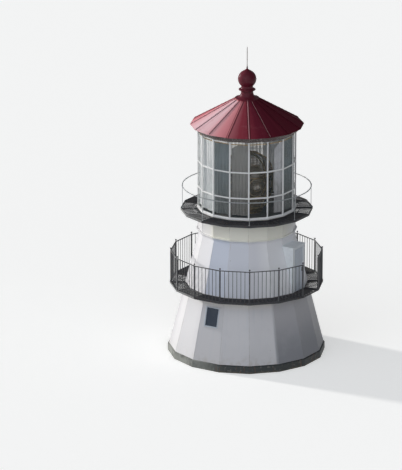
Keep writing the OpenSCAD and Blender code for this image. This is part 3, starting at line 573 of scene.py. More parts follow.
def roof_finish(colours):
    """Red oil paint: faded in runs, chalk marks, rusty in spots, with painted light: pale pink
    glare towards the sun side, darker red away from it, shade and dirt beside the ribs and
    highlights on them.
    """
    f = Finish("red_roof_paint")
    paint = colours.roof
    on_roof = f.z.step(10.24, 10.14)  # 0 on the ventilator
    # painted highlight and painted shade: pale pink glare towards the sunlit side, darker red away
    # from it, with some real fading
    toward_lit_side = f.round_tower().towards(LIT_SIDE_TURN)
    glare_and_fade = toward_lit_side.step(-0.15, 1.05, "LINEAR") * (0.25 + on_roof * 0.75)
    painted_sun_side = f.node("ValToRGB", {"stops": [
        (0.0, tint(paint, 0.62)), (0.32, paint), (0.62, (0.40, 0.062, 0.088)),
        (0.84, (0.88, 0.35, 0.38)), (0.96, (0.98, 0.67, 0.71))]}, {"Fac": glare_and_fade})
    runs = f.runs(0.05, 2.6, 4.0)
    chalk = f.cloud(0.26, 5.0, 0.6).step(0.52, 0.74)
    spots = f.specks(0.11).step(0.09, 0.055) * f.cloud(0.4).step(0.5, 0.62)
    radius = f.on_vectors("LENGTH", f.vector(f.x, f.y, 0.0), output="Value")
    from_rib = f.corner_gap() * radius * (2 * math.sin(HALF_ANGLE))
    # darker bands beside the ribs: painted shade, and dirt
    rib_shade_and_dirt = from_rib.step(0.021, 0.024) * from_rib.step(0.075, 0.030) * on_roof
    # painted highlights: rib faces turned to the sun, and the ribs' tops on the front
    painted_rib_glint = f.face_normal().towards(190).step(0.86, 0.97) * on_roof
    painted_ridge_highlight = from_rib.step(0.020, 0.016) * f.facing(270.0, 14, 20) * on_roof
    body = f.coats(
        painted_sun_side,
        ((0.05, 0.004, 0.008), f.plate_tone(11.0) * 0.16),
        ((0.46, 0.10, 0.13), runs.step(0.50, 0.78) * (0.06 + glare_and_fade * 0.30)),
        ((0.52, 0.20, 0.22), chalk * (0.04 + glare_and_fade * 0.25)),
        ((0.10, 0.018, 0.016), spots * 0.7),
        ((0.035, 0.006, 0.010), rib_shade_and_dirt * (0.45 + f.cloud(0.2, 3.0) * 0.7)),
        ((0.95, 0.64, 0.62), painted_rib_glint * 0.6),
        ((0.90, 0.52, 0.54), painted_ridge_highlight * 0.55))
    swell = f.bump(f.cloud(0.3, 2.0), 0.008, 0.35)
    return f.shade(
        body, 0.58 + chalk * 0.2 + runs * 0.08, f.bump(f.cloud(0.011, 2.0), 0.0006, 0.5, swell),
        Specular_IOR_Level=0.06, Coat_Weight=0.30 - on_roof * 0.30, Coat_Roughness=0.16)


def iron_finish(name, paint, rust_share=0.35, sheen=0.42):
    """Black paint on wrought iron, rusting in places, lighter on faces that see the sun: chalk, and
    painted light.
    """
    f = Finish(name)
    grey = f.cloud(0.035, 3.0).step(0.52, 0.72)
    rust = f.cloud(0.07, 5.0, 0.7).step(0.57, 0.66) * rust_share
    body = f.coats(
        f.mix(paint, tint(paint, 2.3), f.cloud(0.12, 4.0)),
        ((0.11, 0.115, 0.12), grey * 0.28),
        # lighter on faces turned to the key light: chalk, and painted light
        (SUNLIT_CHALK, f.exposed() * f.cloud(0.05, 4.0).step(0.25, 0.6) * 0.9),
        (RUST, rust))
    return f.shade(
        body, sheen + rust * 0.5 + grey * 0.15, f.bump(f.cloud(0.008, 3.0), 0.0008, 0.6))


def paint_finish(name, paint, wear, off_front_dimming=0.0):
    """Oil paint on small ironwork or wood, with grime and worn spots; where asked, painted shade
    darkens all but the front-left sides.
    """
    f = Finish(name)
    body = f.mix(tint(paint, 0.9), tint(paint, 1.05), f.cloud(0.4, 4.0))
    if off_front_dimming:
        # painted shade: darker away from the front-left, so the sunlit side stays below white
        body = f.mix(tint(paint, 1 - off_front_dimming), body, f.facing(262.0, 50, 95))
    grime = f.runs(0.02, 0.5, 3.0).step(0.5, 0.78)
    worn = f.cloud(0.045, 5.0, 0.65).step(0.60, 0.68) * wear
    swell = f.bump(f.cloud(0.15), 0.004, 0.3)
    return f.shade(
        f.coats(body, (tint(paint, 0.62), grime * 0.22), (RUST, worn)),
        0.45 + grime * 0.2 + worn * 0.2, f.bump(f.cloud(0.01, 3.0), 0.0006, 0.5, swell))


def cornice_finish(colours):
    """A dark base, painted shade under the eave, with pale flakes of white paint and rust."""
    f = Finish("cornice_paint")
    # the dark base colour: painted shade of the cornice under the eave
    under = colours.cornice
    flake = f.cloud(0.05, 5.0, 0.7, f.stretched((1, 1, 1.6))).step(0.54, 0.60)
    body = f.coats(
        f.mix(tint(under, 0.75), tint(under, 1.3), f.cloud(0.12, 5.0, 0.65)),
        ((0.60, 0.58, 0.56), flake * 0.7),
        (RUST, f.cloud(0.07, 4.0).step(0.58, 0.68) * 0.5))
    return f.shade(body, 0.6, f.bump(flake, 0.0012, 0.8))


def glass_finish(name, shade, cover, grime, gloss=0.04):
    """A pane with salt film towards its edges, as clear as its cover lets it be."""
    f = Finish(name)
    film = f.cloud(0.35, 5.0, 0.65).step(0.42, 0.78)
    runs = f.runs(0.02, 0.9, 4.0).step(0.48, 0.78)
    return f.shade(
        f.mix(shade, (0.50, 0.53, 0.52), film * grime), gloss + film * 0.08,
        f.bump(f.cloud(0.5, 1.0), 0.006, 0.4), IOR=1.5,
        Alpha=cover + film * grime * 0.5 + runs * grime * 0.5)


def brass_finish():
    """Dull brass, browned in the hollows."""
    f = Finish("lens_brass")
    browned = f.cloud(0.09, 5.0).step(0.4, 0.7)
    return f.shade(
        f.mix((0.50, 0.37, 0.21), (0.24, 0.16, 0.085), browned), 0.38 + f.cloud(0.05, 3.0) * 0.25,
        f.bump(f.cloud(0.01, 2.0), 0.0005, 0.5), Metallic=0.85)


def lens_finish():
    """Amber-brown prisms, seen against the dark inside of the lens."""
    f = Finish("lens_prism_glass")
    rings = f.calc("SINE", f.z * 150.0).step(-0.2, 0.9)
    body = f.mix((0.40, 0.29, 0.19), (0.62, 0.50, 0.36), f.cloud(0.35, 3.0))
    return f.shade(
        f.mix(body, (0.10, 0.08, 0.06), rings * 0.4), 0.1, Alpha=0.30, IOR=1.52,
        Coat_Weight=0.3, Coat_Roughness=0.04)


def steel_finish():
    """Weathered steel rod."""
    f = Finish("rod_steel")
    stains = f.cloud(0.05, 4.0, 0.6, f.stretched((1, 1, 0.2)))
    return f.shade(f.mix((0.16, 0.13, 0.13), (0.09, 0.05, 0.04), stains), 0.5, Metallic=0.6)


def cloth_finish(colours):
    """Undyed cotton: a plain weave on the curtain's own map and random stains, darker towards the
    bottom at the front, with painted light on the sun side, the rear and single sides.
    """
    f = Finish("curtain_cotton")
    cloth = colours.curtain
    flat = f.parts(f.node("UVMap", {"uv_map": "cloth"}))
    thread = 2 * math.pi / THREAD_PITCH
    weave = f.calc("SINE", flat * thread) * f.calc("SINE", flat.part("Y") * thread)
    painted_sun_side = f.facing(200.0, 23, 27)
    rear = f.facing(84.0, 60, 88)
    # the front curtains darker towards the bottom
    darker_low_front = f.facing(270.0, 70, 95) * f.z.step(7.9, 6.2)
    stain = f.cloud(0.5, 4.0).step(0.5, 0.75) * (1 - painted_sun_side * 0.6)
    body = f.coats(
        f.mix(tint(cloth, 0.92), tint(cloth, 1.06), f.cloud(0.4, 3.0)),
        # painted light: a lighter, warmer curtain at side 15 and light grey at side 1, where the
        # light is low
        ((0.38, 0.36, 0.335), f.facing(258.75, 11, 14) * 0.9),
        ((0.80, 0.78, 0.80), f.facing(303.75, 11, 14) * 0.9),
        ((0.15, 0.135, 0.12), darker_low_front * 0.50),
        # painted light: lighter curtains on the sides the sun falls on, palest at the left
        ((0.66, 0.69, 0.67), f.facing(150.0, 55, 75) * 0.95),
        ((0.93, 0.97, 0.95), painted_sun_side * 0.97),
        # painted light: lighter rear curtains, their inner faces near white
        ((0.70, 0.69, 0.68), rear * 0.95),
        ((0.97, 0.95, 0.93), f.out_turn().step(0.05, -0.05) * rear),
        ((0.20, 0.18, 0.14), stain * 0.3),
        (tint(cloth, 0.8), weave.step(0.0, 1.0) * 0.12))
    relief = f.bump(weave, 0.0006, 0.35)
    dense, worn = [
        f.principled(body, 0.92, relief, Subsurface_Weight=1.0,
                     Subsurface_Radius=(1.0, 1.0, 1.0), Subsurface_Scale=scale)
        for scale in (0.003, 0.014)]
    return f.end(f.node("MixShader", inputs={0: rear, 1: dense, 2: worn}))


def make_finishes(colours):
    """One material for each of the record's slots."""
    iron = colours.iron
    return {
        "white_paint": wall_finish(colours),
        "plinth_paint": plinth_finish(colours),
        "concrete": concrete_finish((0.40, 0.39, 0.36)),
        "window_paint": paint_finish("window_paint", (0.55, 0.60, 0.66), 0.25),
        # near-opaque dark pane: painted shade of the dark room behind
        "window_glass": glass_finish("window_glass", (0.026, 0.042, 0.070), 0.93, 0.03, 0.2),
        "floor_plate": iron_finish("floor_plate_iron", (0.10, 0.095, 0.09), 0.6, 0.6),
        "black_iron": iron_finish("railing_iron", iron),
        "grating_iron": iron_finish("grating_iron", tint(iron, 0.75), 0.5, 0.55),
        # lighter and bluer than the wall white: painted light lifting the porch's shade
        "porch_paint": paint_finish("porch_paint", (0.90, 0.94, 0.99), 0.2),
        "door_paint": paint_finish("door_paint", (0.66, 0.71, 0.78), 0.3),
        "handrail_paint": paint_finish("handrail_paint", (0.42, 0.44, 0.45), 0.55),
        # last number: painted shade, the bars darker away from the front-left
        "glazing_paint": paint_finish("glazing_paint", colours.glazing, 0.14, 0.24),
        "lantern_glass": glass_finish("lantern_glass", (0.22, 0.30, 0.31), 0.045, 0.09),
        "cornice_paint": cornice_finish(colours),
        "red_paint": roof_finish(colours),
        "rod_steel": steel_finish(),
        "lens_brass": brass_finish(),
        "lens_glass": lens_finish(),
        "curtain_cloth": cloth_finish(colours),
    }


def finish_of(slot):
    """The material of a slot, made by the finishes operator."""
    for material in bpy.data.materials:
        if material.get("slot") == slot:
            return material
    raise RuntimeError(f"the finishes come before the pieces, and there is none for {slot}")


# Places


def at(x=0.0, y=0.0, z=0.0):
    """A move, as a matrix."""
    return Matrix.Translation((x, y, z))


def turned(angle, axis):
    """A turn about an axis, as a matrix."""
    return Matrix.Rotation(angle, 4, axis)


FACE_OUT = turned(math.pi / 2, "Y")
ALONG_SIDE = turned(-math.pi / 2, "X")


def at_side(k, x=0.0, z=0.0, across=0.0):
    """Place at the middle of a side, +X outwards."""
    return turned(side_dir(k), "Z") @ at(x, across, z)


def sides(x=0.0, z=0.0):
    """Places at the middle of every side, +X outwards."""
    return [at_side(k, x, z) for k in range(SIDES)]


def corners(r=0.0, z=0.0, lean=0.0):
    """Places at every corner of the tower, +X outwards, leaning in by an angle."""
    return [turned(corner_dir(k), "Z") @ at(r, 0, z) @ turned(lean, "Y") for k in range(SIDES)]


def on_sides(x, spots):
    """Places on every side at (across, z) spots, +Z outwards."""
    return [at_side(k, x, z, across) @ FACE_OUT for k in range(SIDES) for across, z in spots]


def direction(around, up=0.0):
    """Unit vector at an angle round the tower and an angle above the ground."""
    return Vector((math.cos(around) * math.cos(up), math.sin(around) * math.cos(up), math.sin(up)))


def turned_back(back):
    """Rotation of a camera or a sun whose back points along a vector."""
    return back.to_track_quat("Z", "Y").to_euler()


# Modelling


def clear_selection():
    """Object mode with nothing selected."""
    if bpy.context.mode != "OBJECT":
        bpy.ops.object.mode_set(mode="OBJECT")
    bpy.ops.object.select_all(action="DESELECT")


def take(piece):
    """Selects one piece alone and makes it the active one."""
    clear_selection()
    piece.select_set(True)
    bpy.context.view_layer.objects.active = piece


def select_mesh():
    """Selects all that is in edit mode."""
    bpy.ops.mesh.select_all(action="SELECT")


def edit(piece, mode="FACE"):
    """Edit mode on one piece, with nothing selected."""
    take(piece)
    bpy.ops.object.mode_set(mode="EDIT")
    bpy.ops.mesh.select_mode(type=mode)
    bpy.ops.mesh.select_all(action="DESELECT")


def close_edit():
    """Turns the edited piece's faces outwards and goes back to object mode."""
    select_mesh()
    bpy.ops.mesh.normals_make_consistent(inside=False)
    bpy.ops.object.mode_set(mode="OBJECT")


def placed():
    """The active object, with its place moved into its mesh."""
    bpy.ops.object.transform_apply(location=True, rotation=True, scale=True)
    return bpy.context.active_object


def shifted(piece, place):
    """Moves a piece's mesh by a matrix."""
    piece.data.transform(place)
    return piece


def joined(pieces):
    """Joins pieces into the first of them."""
    clear_selection()
    for piece in pieces:
        piece.select_set(True)
    bpy.context.view_layer.objects.active = pieces[0]
    if len(pieces) > 1:
        bpy.ops.object.join()
    return pieces[0]


def spread(model, places):
    """Copies a model to each place, each copy with its own mesh, and joins the copies."""
    copies = []
    for place in places:
        copy = model.copy()
        copy.data = model.data.copy()
        bpy.context.collection.objects.link(copy)
        copies.append(shifted(copy, place))
    bpy.data.objects.remove(model)
    return joined(copies)


def deliver(piece, name, slot, smooth):
    """Gives a finished piece its name, the material of its slot, its shading and its body."""
    take(piece)
    piece.name = name
    piece.data.name = name
    piece.data.materials.clear()
    piece.data.materials.append(finish_of(slot))
    if smooth:
        bpy.ops.object.shade_smooth_by_angle(angle=math.radians(smooth))
    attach(piece, "root")


def repeat(model, places, *details):
    """Delivers copies of a model at places, joined into one piece."""
    deliver(spread(model, places), *details)


def drawn(points):
    """A line of vertices drawn point by point by extruding its end."""
    clear_selection()
    bpy.ops.mesh.primitive_plane_add(size=0.01, location=points[0])
    line = placed()
    edit(line, "VERT")
    select_mesh()
    bpy.ops.mesh.merge(type="CENTER")
    for here, there in zip(points, points[1:]):
        step = Vector(there) - Vector(here)
        bpy.ops.mesh.extrude_region_move(TRANSFORM_OT_translate={"value": step})
    return line


def spun_ring(profile, steps=SIDES):
    """A closed ring from a profile of (radius, height) points, sixteen-sided or turned."""
    points = [(0.0, -r, z) for r, z in profile]
    ring = drawn(points + points[:1])
    select_mesh()
    bpy.ops.mesh.spin(steps=steps, angle=2 * math.pi, center=(0, 0, 0), axis=(0, 0, 1))
    select_mesh()
    bpy.ops.mesh.remove_doubles(threshold=0.0002)
    close_edit()
    return ring


def bar(outline, length):
    """A solid bar with an outline of (x, y) points, from z = 0 up."""
    piece = drawn([(x, y, 0.0) for x, y in outline])
    select_mesh()
    bpy.ops.mesh.edge_face_add()
    bpy.ops.mesh.extrude_region_move(TRANSFORM_OT_translate={"value": (0, 0, length)})
    close_edit()
    return piece


def stepped(piece, steps):
    """Insets a piece's upper face in steps of (width, rise)."""
    edit(piece)
    mesh = bmesh.from_edit_mesh(piece.data)
    for face in mesh.faces:
        if face.normal.z > 0.9:
            face.select_set(True)
    mesh.select_flush_mode()
    bmesh.update_edit_mesh(piece.data)
    for wide, rise in steps:
        bpy.ops.mesh.inset(thickness=wide, depth=rise)
    bpy.ops.object.mode_set(mode="OBJECT")
    return piece


def bead(r, z, size, count, squash=1.0):
    """Round profile about a radius and a height."""
    turns = [2 * math.pi * i / count for i in range(count)]
    return [(r + size * math.cos(a), z + size * squash * math.sin(a)) for a in turns]


def mirrored(half, z=0.0):
    """Profile about a height, from the (radius, height) points of its upper half."""
    return [(r, z - up) for r, up in half] + [(r, z + up) for r, up in reversed(half)]


def oblong(wide, deep, cut):
    """Outline of a plate, wide along x, whose corners may be cut off."""
    x, y = wide / 2, deep / 2
    if not cut:
        return [(-x, -y), (x, -y), (x, y), (-x, y)]
    return [(cut - x, -y), (x - cut, -y), (x, cut - y), (x, y - cut),
            (x - cut, y), (cut - x, y), (-x, y - cut), (-x, cut - y)]


def plate(wide, deep, cut, thick, *steps):
    """A plate whose upper face may be inset in steps of (width, rise)."""
    piece = bar(oblong(wide, deep, cut), thick)
    return stepped(piece, steps) if steps else piece


def chevron(r, wing, thick):
    """Plan of a plate folded round a tower corner on +X, wing wide on each side."""
    drop, across = half_side(wing), flat_r(wing)
    out = thick / math.cos(HALF_ANGLE)
    return [(r, 0), (r - drop, -across), (r - drop + thick, -across), (r + out, 0),
            (r - drop + thick, across), (r - drop, across)]


def stub(edges, radius, height, middle):
    """A short cylinder about +Z, with the height of its middle."""
    clear_selection()
    bpy.ops.mesh.primitive_cylinder_add(
        vertices=edges, radius=radius, depth=height, location=(0, 0, middle))
    return placed()


def hex_bolt(width, height):
    """A hexagonal bolt head on a washer, standing on its foot along +Z."""
    washer = stub(12, width * 0.62, height * 0.25, height * 0.125)
    head = stub(6, width / 2, height * 0.75, height * 0.62)
    return joined([washer, stepped(head, [(width * 0.08, height * 0.08)])])


def rivet(width, height):
    """A round rivet head standing on its foot along +Z."""
    head = stub(10, width / 2, height * 0.4, height * 0.2)
    return stepped(head, [(width * 0.1, height * 0.36), (width * 0.14, height * 0.24)])


# Operators


class LIGHTHOUSE_OT_studio(bpy.types.Operator):
    """Camera at the view's angle, a pale floor and soft light"""

    bl_idname = "lighthouse.studio"
    bl_label = "Studio"

    def execute(self, context):
        studio = context.scene.lighthouse_studio
        self.set_camera(context, studio)
        self.lay_floor(studio)
        self.set_sun(context, studio)
        self.set_sky(context, studio)
        context.scene.view_settings.view_transform = "Standard"
        return {"FINISHED"}

    def set_camera(self, context, studio):
        back = direction(studio.azimuth - math.pi / 2, studio.elevation)
        right = direction(studio.azimuth)
        target = Vector((0, 0, CAMERA_TARGET_Z))
        eye = target + back * studio.distance
        aim = target - right * studio.aim_left - back.cross(right) * studio.aim_down
        clear_selection()
        bpy.ops.object.camera_add(location=eye, rotation=turned_back(eye - aim))
        camera = context.active_object
        camera.data.lens = studio.lens
        camera.data.clip_start = 1.0
        camera.data.clip_end = 2000.0
        context.scene.camera = camera

    def lay_floor(self, studio):
        clear_selection()
        bpy.ops.mesh.primitive_grid_add(
            x_subdivisions=8, y_subdivisions=8, size=2 * studio.floor_reach)
        floor = placed()
        floor.name = "floor"
        f = Finish("floor")
        ray = f.node("LightPath", output="Is Camera Ray")
        seen = f.calc("MAXIMUM", ray, ray.part("Is Transmission Ray"))
        seen = f.calc("MAXIMUM", seen, ray.part("Is Glossy Ray"))
        floor.data.materials.append(f.shade(
            f.mix((0.45, 0.45, 0.44), (0.86, 0.86, 0.85), seen), 1.0,
            Emission_Color=f.mix((0.0, 0.0, 0.0), (0.45, 0.45, 0.445), seen),
            Emission_Strength=1.0, Specular_IOR_Level=0.0))

    def set_sun(self, context, studio):
        towards = direction(studio.sun_direction, studio.sun_height)
        clear_selection()
        bpy.ops.object.light_add(
            type="SUN", location=towards * 40, rotation=turned_back(towards))
        lamp = context.active_object
        lamp.name = "key"
        lamp.data.energy = studio.sun_strength
        lamp.data.angle = studio.sun_softness
        lamp.data.color = (1.0, 0.975, 0.94)

    def set_sky(self, context, studio):
        """A sky that is bright at the front left and plain white for the camera."""
        f = Finish("studio", world=True)
        brightest = Vector((-0.34, -0.94, 0.09)).normalized()
        towards = f.on_vectors("DOT_PRODUCT", f.place, brightest, output="Value")
        share = towards.step(0.2, 1.0)
        strength = studio.sky_dark + share * (studio.sky_bright - studio.sky_dark)
        light = f.node("Background", inputs={
            "Color": (0.90, 0.94, 1.0, 1), "Strength": strength})
        white = f.node("Background", inputs={
            "Color": (0.93, 0.96, 1.0, 1), "Strength": 0.95})
        camera = f.node("LightPath", output="Is Camera Ray")
        mixed = f.node("MixShader", inputs={0: camera, 1: light, 2: white})
        context.scene.world = f.end(mixed, "World")


class LIGHTHOUSE_OT_finishes(bpy.types.Operator):
    """Gives every solid of the model its finish"""

    bl_idname = "lighthouse.finishes"
    bl_label = "Finishes"

    def execute(self, context):
        for slot, material in make_finishes(context.scene.lighthouse_colours).items():
            material["slot"] = slot
        for name, node in frame["nodes"].items():
            node.data.materials[0] = finish_of(SLOT_OF[name])
        return {"FINISHED"}


def fold_count(start, end):
    """Number of folds in a curtain."""
    return max(3, round((end - start) * sizes().folds_per_side))


def wave(turns):
    """A smooth swing from 0 to 1 and back at every whole turn."""
    return 0.5 - 0.5 * math.cos(2 * math.pi * turns)


class LIGHTHOUSE_OT_curtains(bpy.types.Operator):
    """Hangs the cotton curtains in folds from the rail inside the panes"""

    bl_idname = "lighthouse.curtains"
    bl_label = "Curtains"

    def execute(self, context):
        for number, (start, end) in enumerate(DROPS):
            wide = (end - start) * 2 * half_side(CURTAIN_R) * sizes().fullness
            tall = CURTAIN_TOP_Z - SILL_TOP_Z - sizes().hem_up
            curtain = self.cut(wide, tall, fold_count(start, end))
            self.hang(curtain, number)
            deliver(curtain, f"curtain_{number + 1}", "curtain_cloth", 60)
            if number == 0:
                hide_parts("curtains")
        return {"FINISHED"}

    def cut(self, wide, tall, folds):
        """A flat grid with the cloth's true size on its own map."""
        clear_selection()
        bpy.ops.mesh.primitive_grid_add(x_subdivisions=folds * 10, y_subdivisions=26, size=1)
        curtain = placed()
        flat = curtain.data.uv_layers[0]
        flat.name = "cloth"
        for loop in flat.data:
            loop.uv = (loop.uv[0] * wide, loop.uv[1] * tall)
        return curtain

    def along(self, count):
        """Point and inward direction at a count of sides along the rail."""
        k = math.floor(count)
        share = count - k
        here, there, out = map(direction, (corner_dir(k), corner_dir(k + 1), side_dir(k)))
        return (here * (1 - share) + there * share) * CURTAIN_R, -out

    def hang(self, curtain, number):
        """Bends the grid into folds that deepen downwards, and gives it thickness."""
        start, end = DROPS[number]
        folds = fold_count(start, end)
        chance = random.Random(CLOTH_SEED + number)
        shifts = [chance.uniform(-0.35, 0.35) for _ in range(folds + 2)]
        depths = [chance.uniform(0.65, 1.15) for _ in range(folds + 2)]
        hem_z = SILL_TOP_Z + sizes().hem_up
        full_depth = sizes().fold_depth
        for vertex in curtain.data.vertices:
            u, v = vertex.co.x + 0.5, 0.5 - vertex.co.y
            fold = u * folds
            k = min(int(fold), folds - 1)
            share = fold - k
            shift = shifts[k] * (1 - share) + shifts[k + 1] * share
            deep = depths[k] * (1 - share) + depths[k + 1] * share
            depth = (0.28 + 0.72 * min(1, v * 2.2)) * full_depth * deep
            inset = 0.004 + wave(fold + shift * v * 0.6) * depth
            count = start + (end - start) * (u + 0.006 * math.sin(7 * u * folds) * v)
            point, inwards = self.along(min(max(count, start), end))
            z = CURTAIN_TOP_Z + (hem_z - CURTAIN_TOP_Z) * v - 0.016 * wave(fold) * (1 - v) ** 3
            if number in SLACK:
                fall, steep, curve = SLACK[number]
                z -= fall * max(0.0, 1 - u * steep) ** curve * (1 - v) ** 1.5
            z += 0.012 * v * math.sin(fold * 1.7 + number)
            vertex.co = (*(point + inwards * inset).xy, z)
        edit(curtain)
        close_edit()
        cloth = curtain.modifiers.new("thickness", "SOLIDIFY")
        cloth.thickness = CLOTH_T
        cloth.offset = 0
        bpy.ops.object.modifier_apply(modifier=cloth.name)


class LIGHTHOUSE_OT_roof_fittings(bpy.types.Operator):
    """Eave bead, rivets along the ribs, the ventilator's bolts and bands, and the rod's socket"""

    bl_idname = "lighthouse.roof_fittings"
    bl_label = "Roof fittings"

    def execute(self, context):
        eave = spun_ring(bead(EAVE_R + 0.002, EAVE_Z + 0.010, 0.017, 10))
        deliver(eave, "roof_eave_bead", "red_paint", 50)
        first, pitch, lean = EAVE_R - 0.06, 0.155, math.atan(ROOF_SLOPE)
        radii = [first - i * pitch for i in range(10)]
        places = [place for r in radii for place in corners(r, roof_z(r) + RIB_H - 0.001, lean)]
        repeat(rivet(sizes().rivet_d, 0.010), places, "rib_rivets", "red_paint", 40)
        places = sides(VENT_BASE_R - 0.022, VENT_FLANGE_Z - 0.001)
        repeat(hex_bolt(sizes().bolt_d * 1.2, 0.018), places, "ventilator_bolts", "red_paint", 30)
        self.band_ventilator()
        self.seat_rod()
        return {"FINISHED"}

    def band_ventilator(self):
        """Half-round bands on the neck, the collar, the ball's middle, the flange and the cap."""
        rings = [spun_ring(bead(r, z, size, 8, 0.9), 48) for r, z, size in (
            (0.238, VENT_COLLAR_Z - 0.052, 0.014), (0.318, VENT_COLLAR_Z, 0.012),
            (0.238, VENT_COLLAR_Z + 0.050, 0.012), (0.356, BALL_Z, 0.007),
            (VENT_BASE_R, VENT_FLANGE_Z - 0.012, 0.009), (0.098, BALL_CAP_Z, 0.012))]
        deliver(joined(rings), "ventilator_bands", "red_paint", 50)

    def seat_rod(self):
        """Socket and collars that hold the lightning rod."""
        socket = spun_ring([
            (r, ROD_SOCKET_Z + up) for r, up in (
                (0.002, 0), (0.034, 0), (0.034, 0.017), (0.022, 0.027), (0.020, 0.060),
                (0.024, 0.065), (0.024, 0.073), (0.0125, 0.083), (0.002, 0.083))], 20)
        collars = [
            spun_ring(mirrored([(0.002, 0.012), (0.017, 0.008)], z), 16) for z in ROD_COLLARS_Z]
        deliver(joined([socket, *collars]), "rod_fittings", "rod_steel", 30)


class LIGHTHOUSE_OT_wall_fittings(bpy.types.Operator):
    """Mortar on the plinth, sealed plate seams, neck straps, cornice straps and collar rivets"""

    bl_idname = "lighthouse.wall_fittings"
    bl_label = "Wall fittings"

    def execute(self, context):
        self.seal_plinth()
        self.seal_seams()
        self.strap_neck()
        strap = bar(chevron(0, 0.030, 0.005), CORNICE_HIGH_Z - CORNICE_LOW_Z)
        shifted(strap, at(CORNICE_STRAP_R, 0, CORNICE_LOW_Z) @ turned(CORNICE_SLANT, "Y"))
        repeat(strap, corners(), "cornice_straps", "cornice_paint", 30)
        spots = [((i - 2) * 0.15, COLLAR_TOP_Z - 0.026) for i in range(5)]
        places = on_sides(flat_r(COLLAR_R) - 0.001, spots)
        repeat(rivet(sizes().rivet_d * 0.75, 0.006), places, "collar_rivets", "white_paint", 40)
        return {"FINISHED"}

    def seal_plinth(self):
        """A sloping bed of mortar round the wall's foot."""
        z = PLINTH_TOP_Z + 0.0004
        deliver(spun_ring([
            (WALL_FOOT_R - 0.012, z), (PLINTH_R - 0.010, z), (PLINTH_R - 0.014, z + 0.006),
            (WALL_FOOT_R + 0.008, z + 0.013), (WALL_FOOT_R - 0.002, z + 0.028),
            (WALL_FOOT_R - 0.012, z + 0.034)]), "plinth_mortar", "plinth_paint", 50)

    def seal_seams(self):
        """A low bead of painted putty up every plate corner."""
        outline = [
            (-0.004, -0.007), (0.0012, -0.005), (0.0026, 0), (0.0012, 0.005), (-0.004, 0.007)]
        strips = [
            shifted(bar(outline, (high - low) / math.cos(WALL_LEAN)),
                    at(wall_r(low), 0, low) @ turned(-WALL_LEAN, "Y"))
            for low, high in ((PLINTH_TOP_Z + 0.004, BEAM_Z), (UPPER_WALL_Z, WALL_TOP_Z - 0.002))]
        repeat(joined(strips), corners(), "wall_seams", "white_paint", 50)

    def strap_neck(self):
        """Folded straps up the neck's corners, riveted on both sides."""
        low, high = COLLAR_TOP_Z + 0.004, NECK_STRAP_TOP_Z
        strap = shifted(bar(chevron(NECK_R, 0.034, 0.005), high - low), at(z=low))
        repeat(strap, corners(), "neck_straps", "white_paint", 30)
        across, pitch = half_side(NECK_R) - 0.018, (high - low - 0.06) / 5
        spots = [(side * across, low + 0.03 + i * pitch) for side in (-1, 1) for i in range(6)]
        places = on_sides(flat_r(NECK_R) + 0.004, spots)
        repeat(rivet(sizes().rivet_d * 0.7, 0.007), places, "neck_rivets", "white_paint", 40)


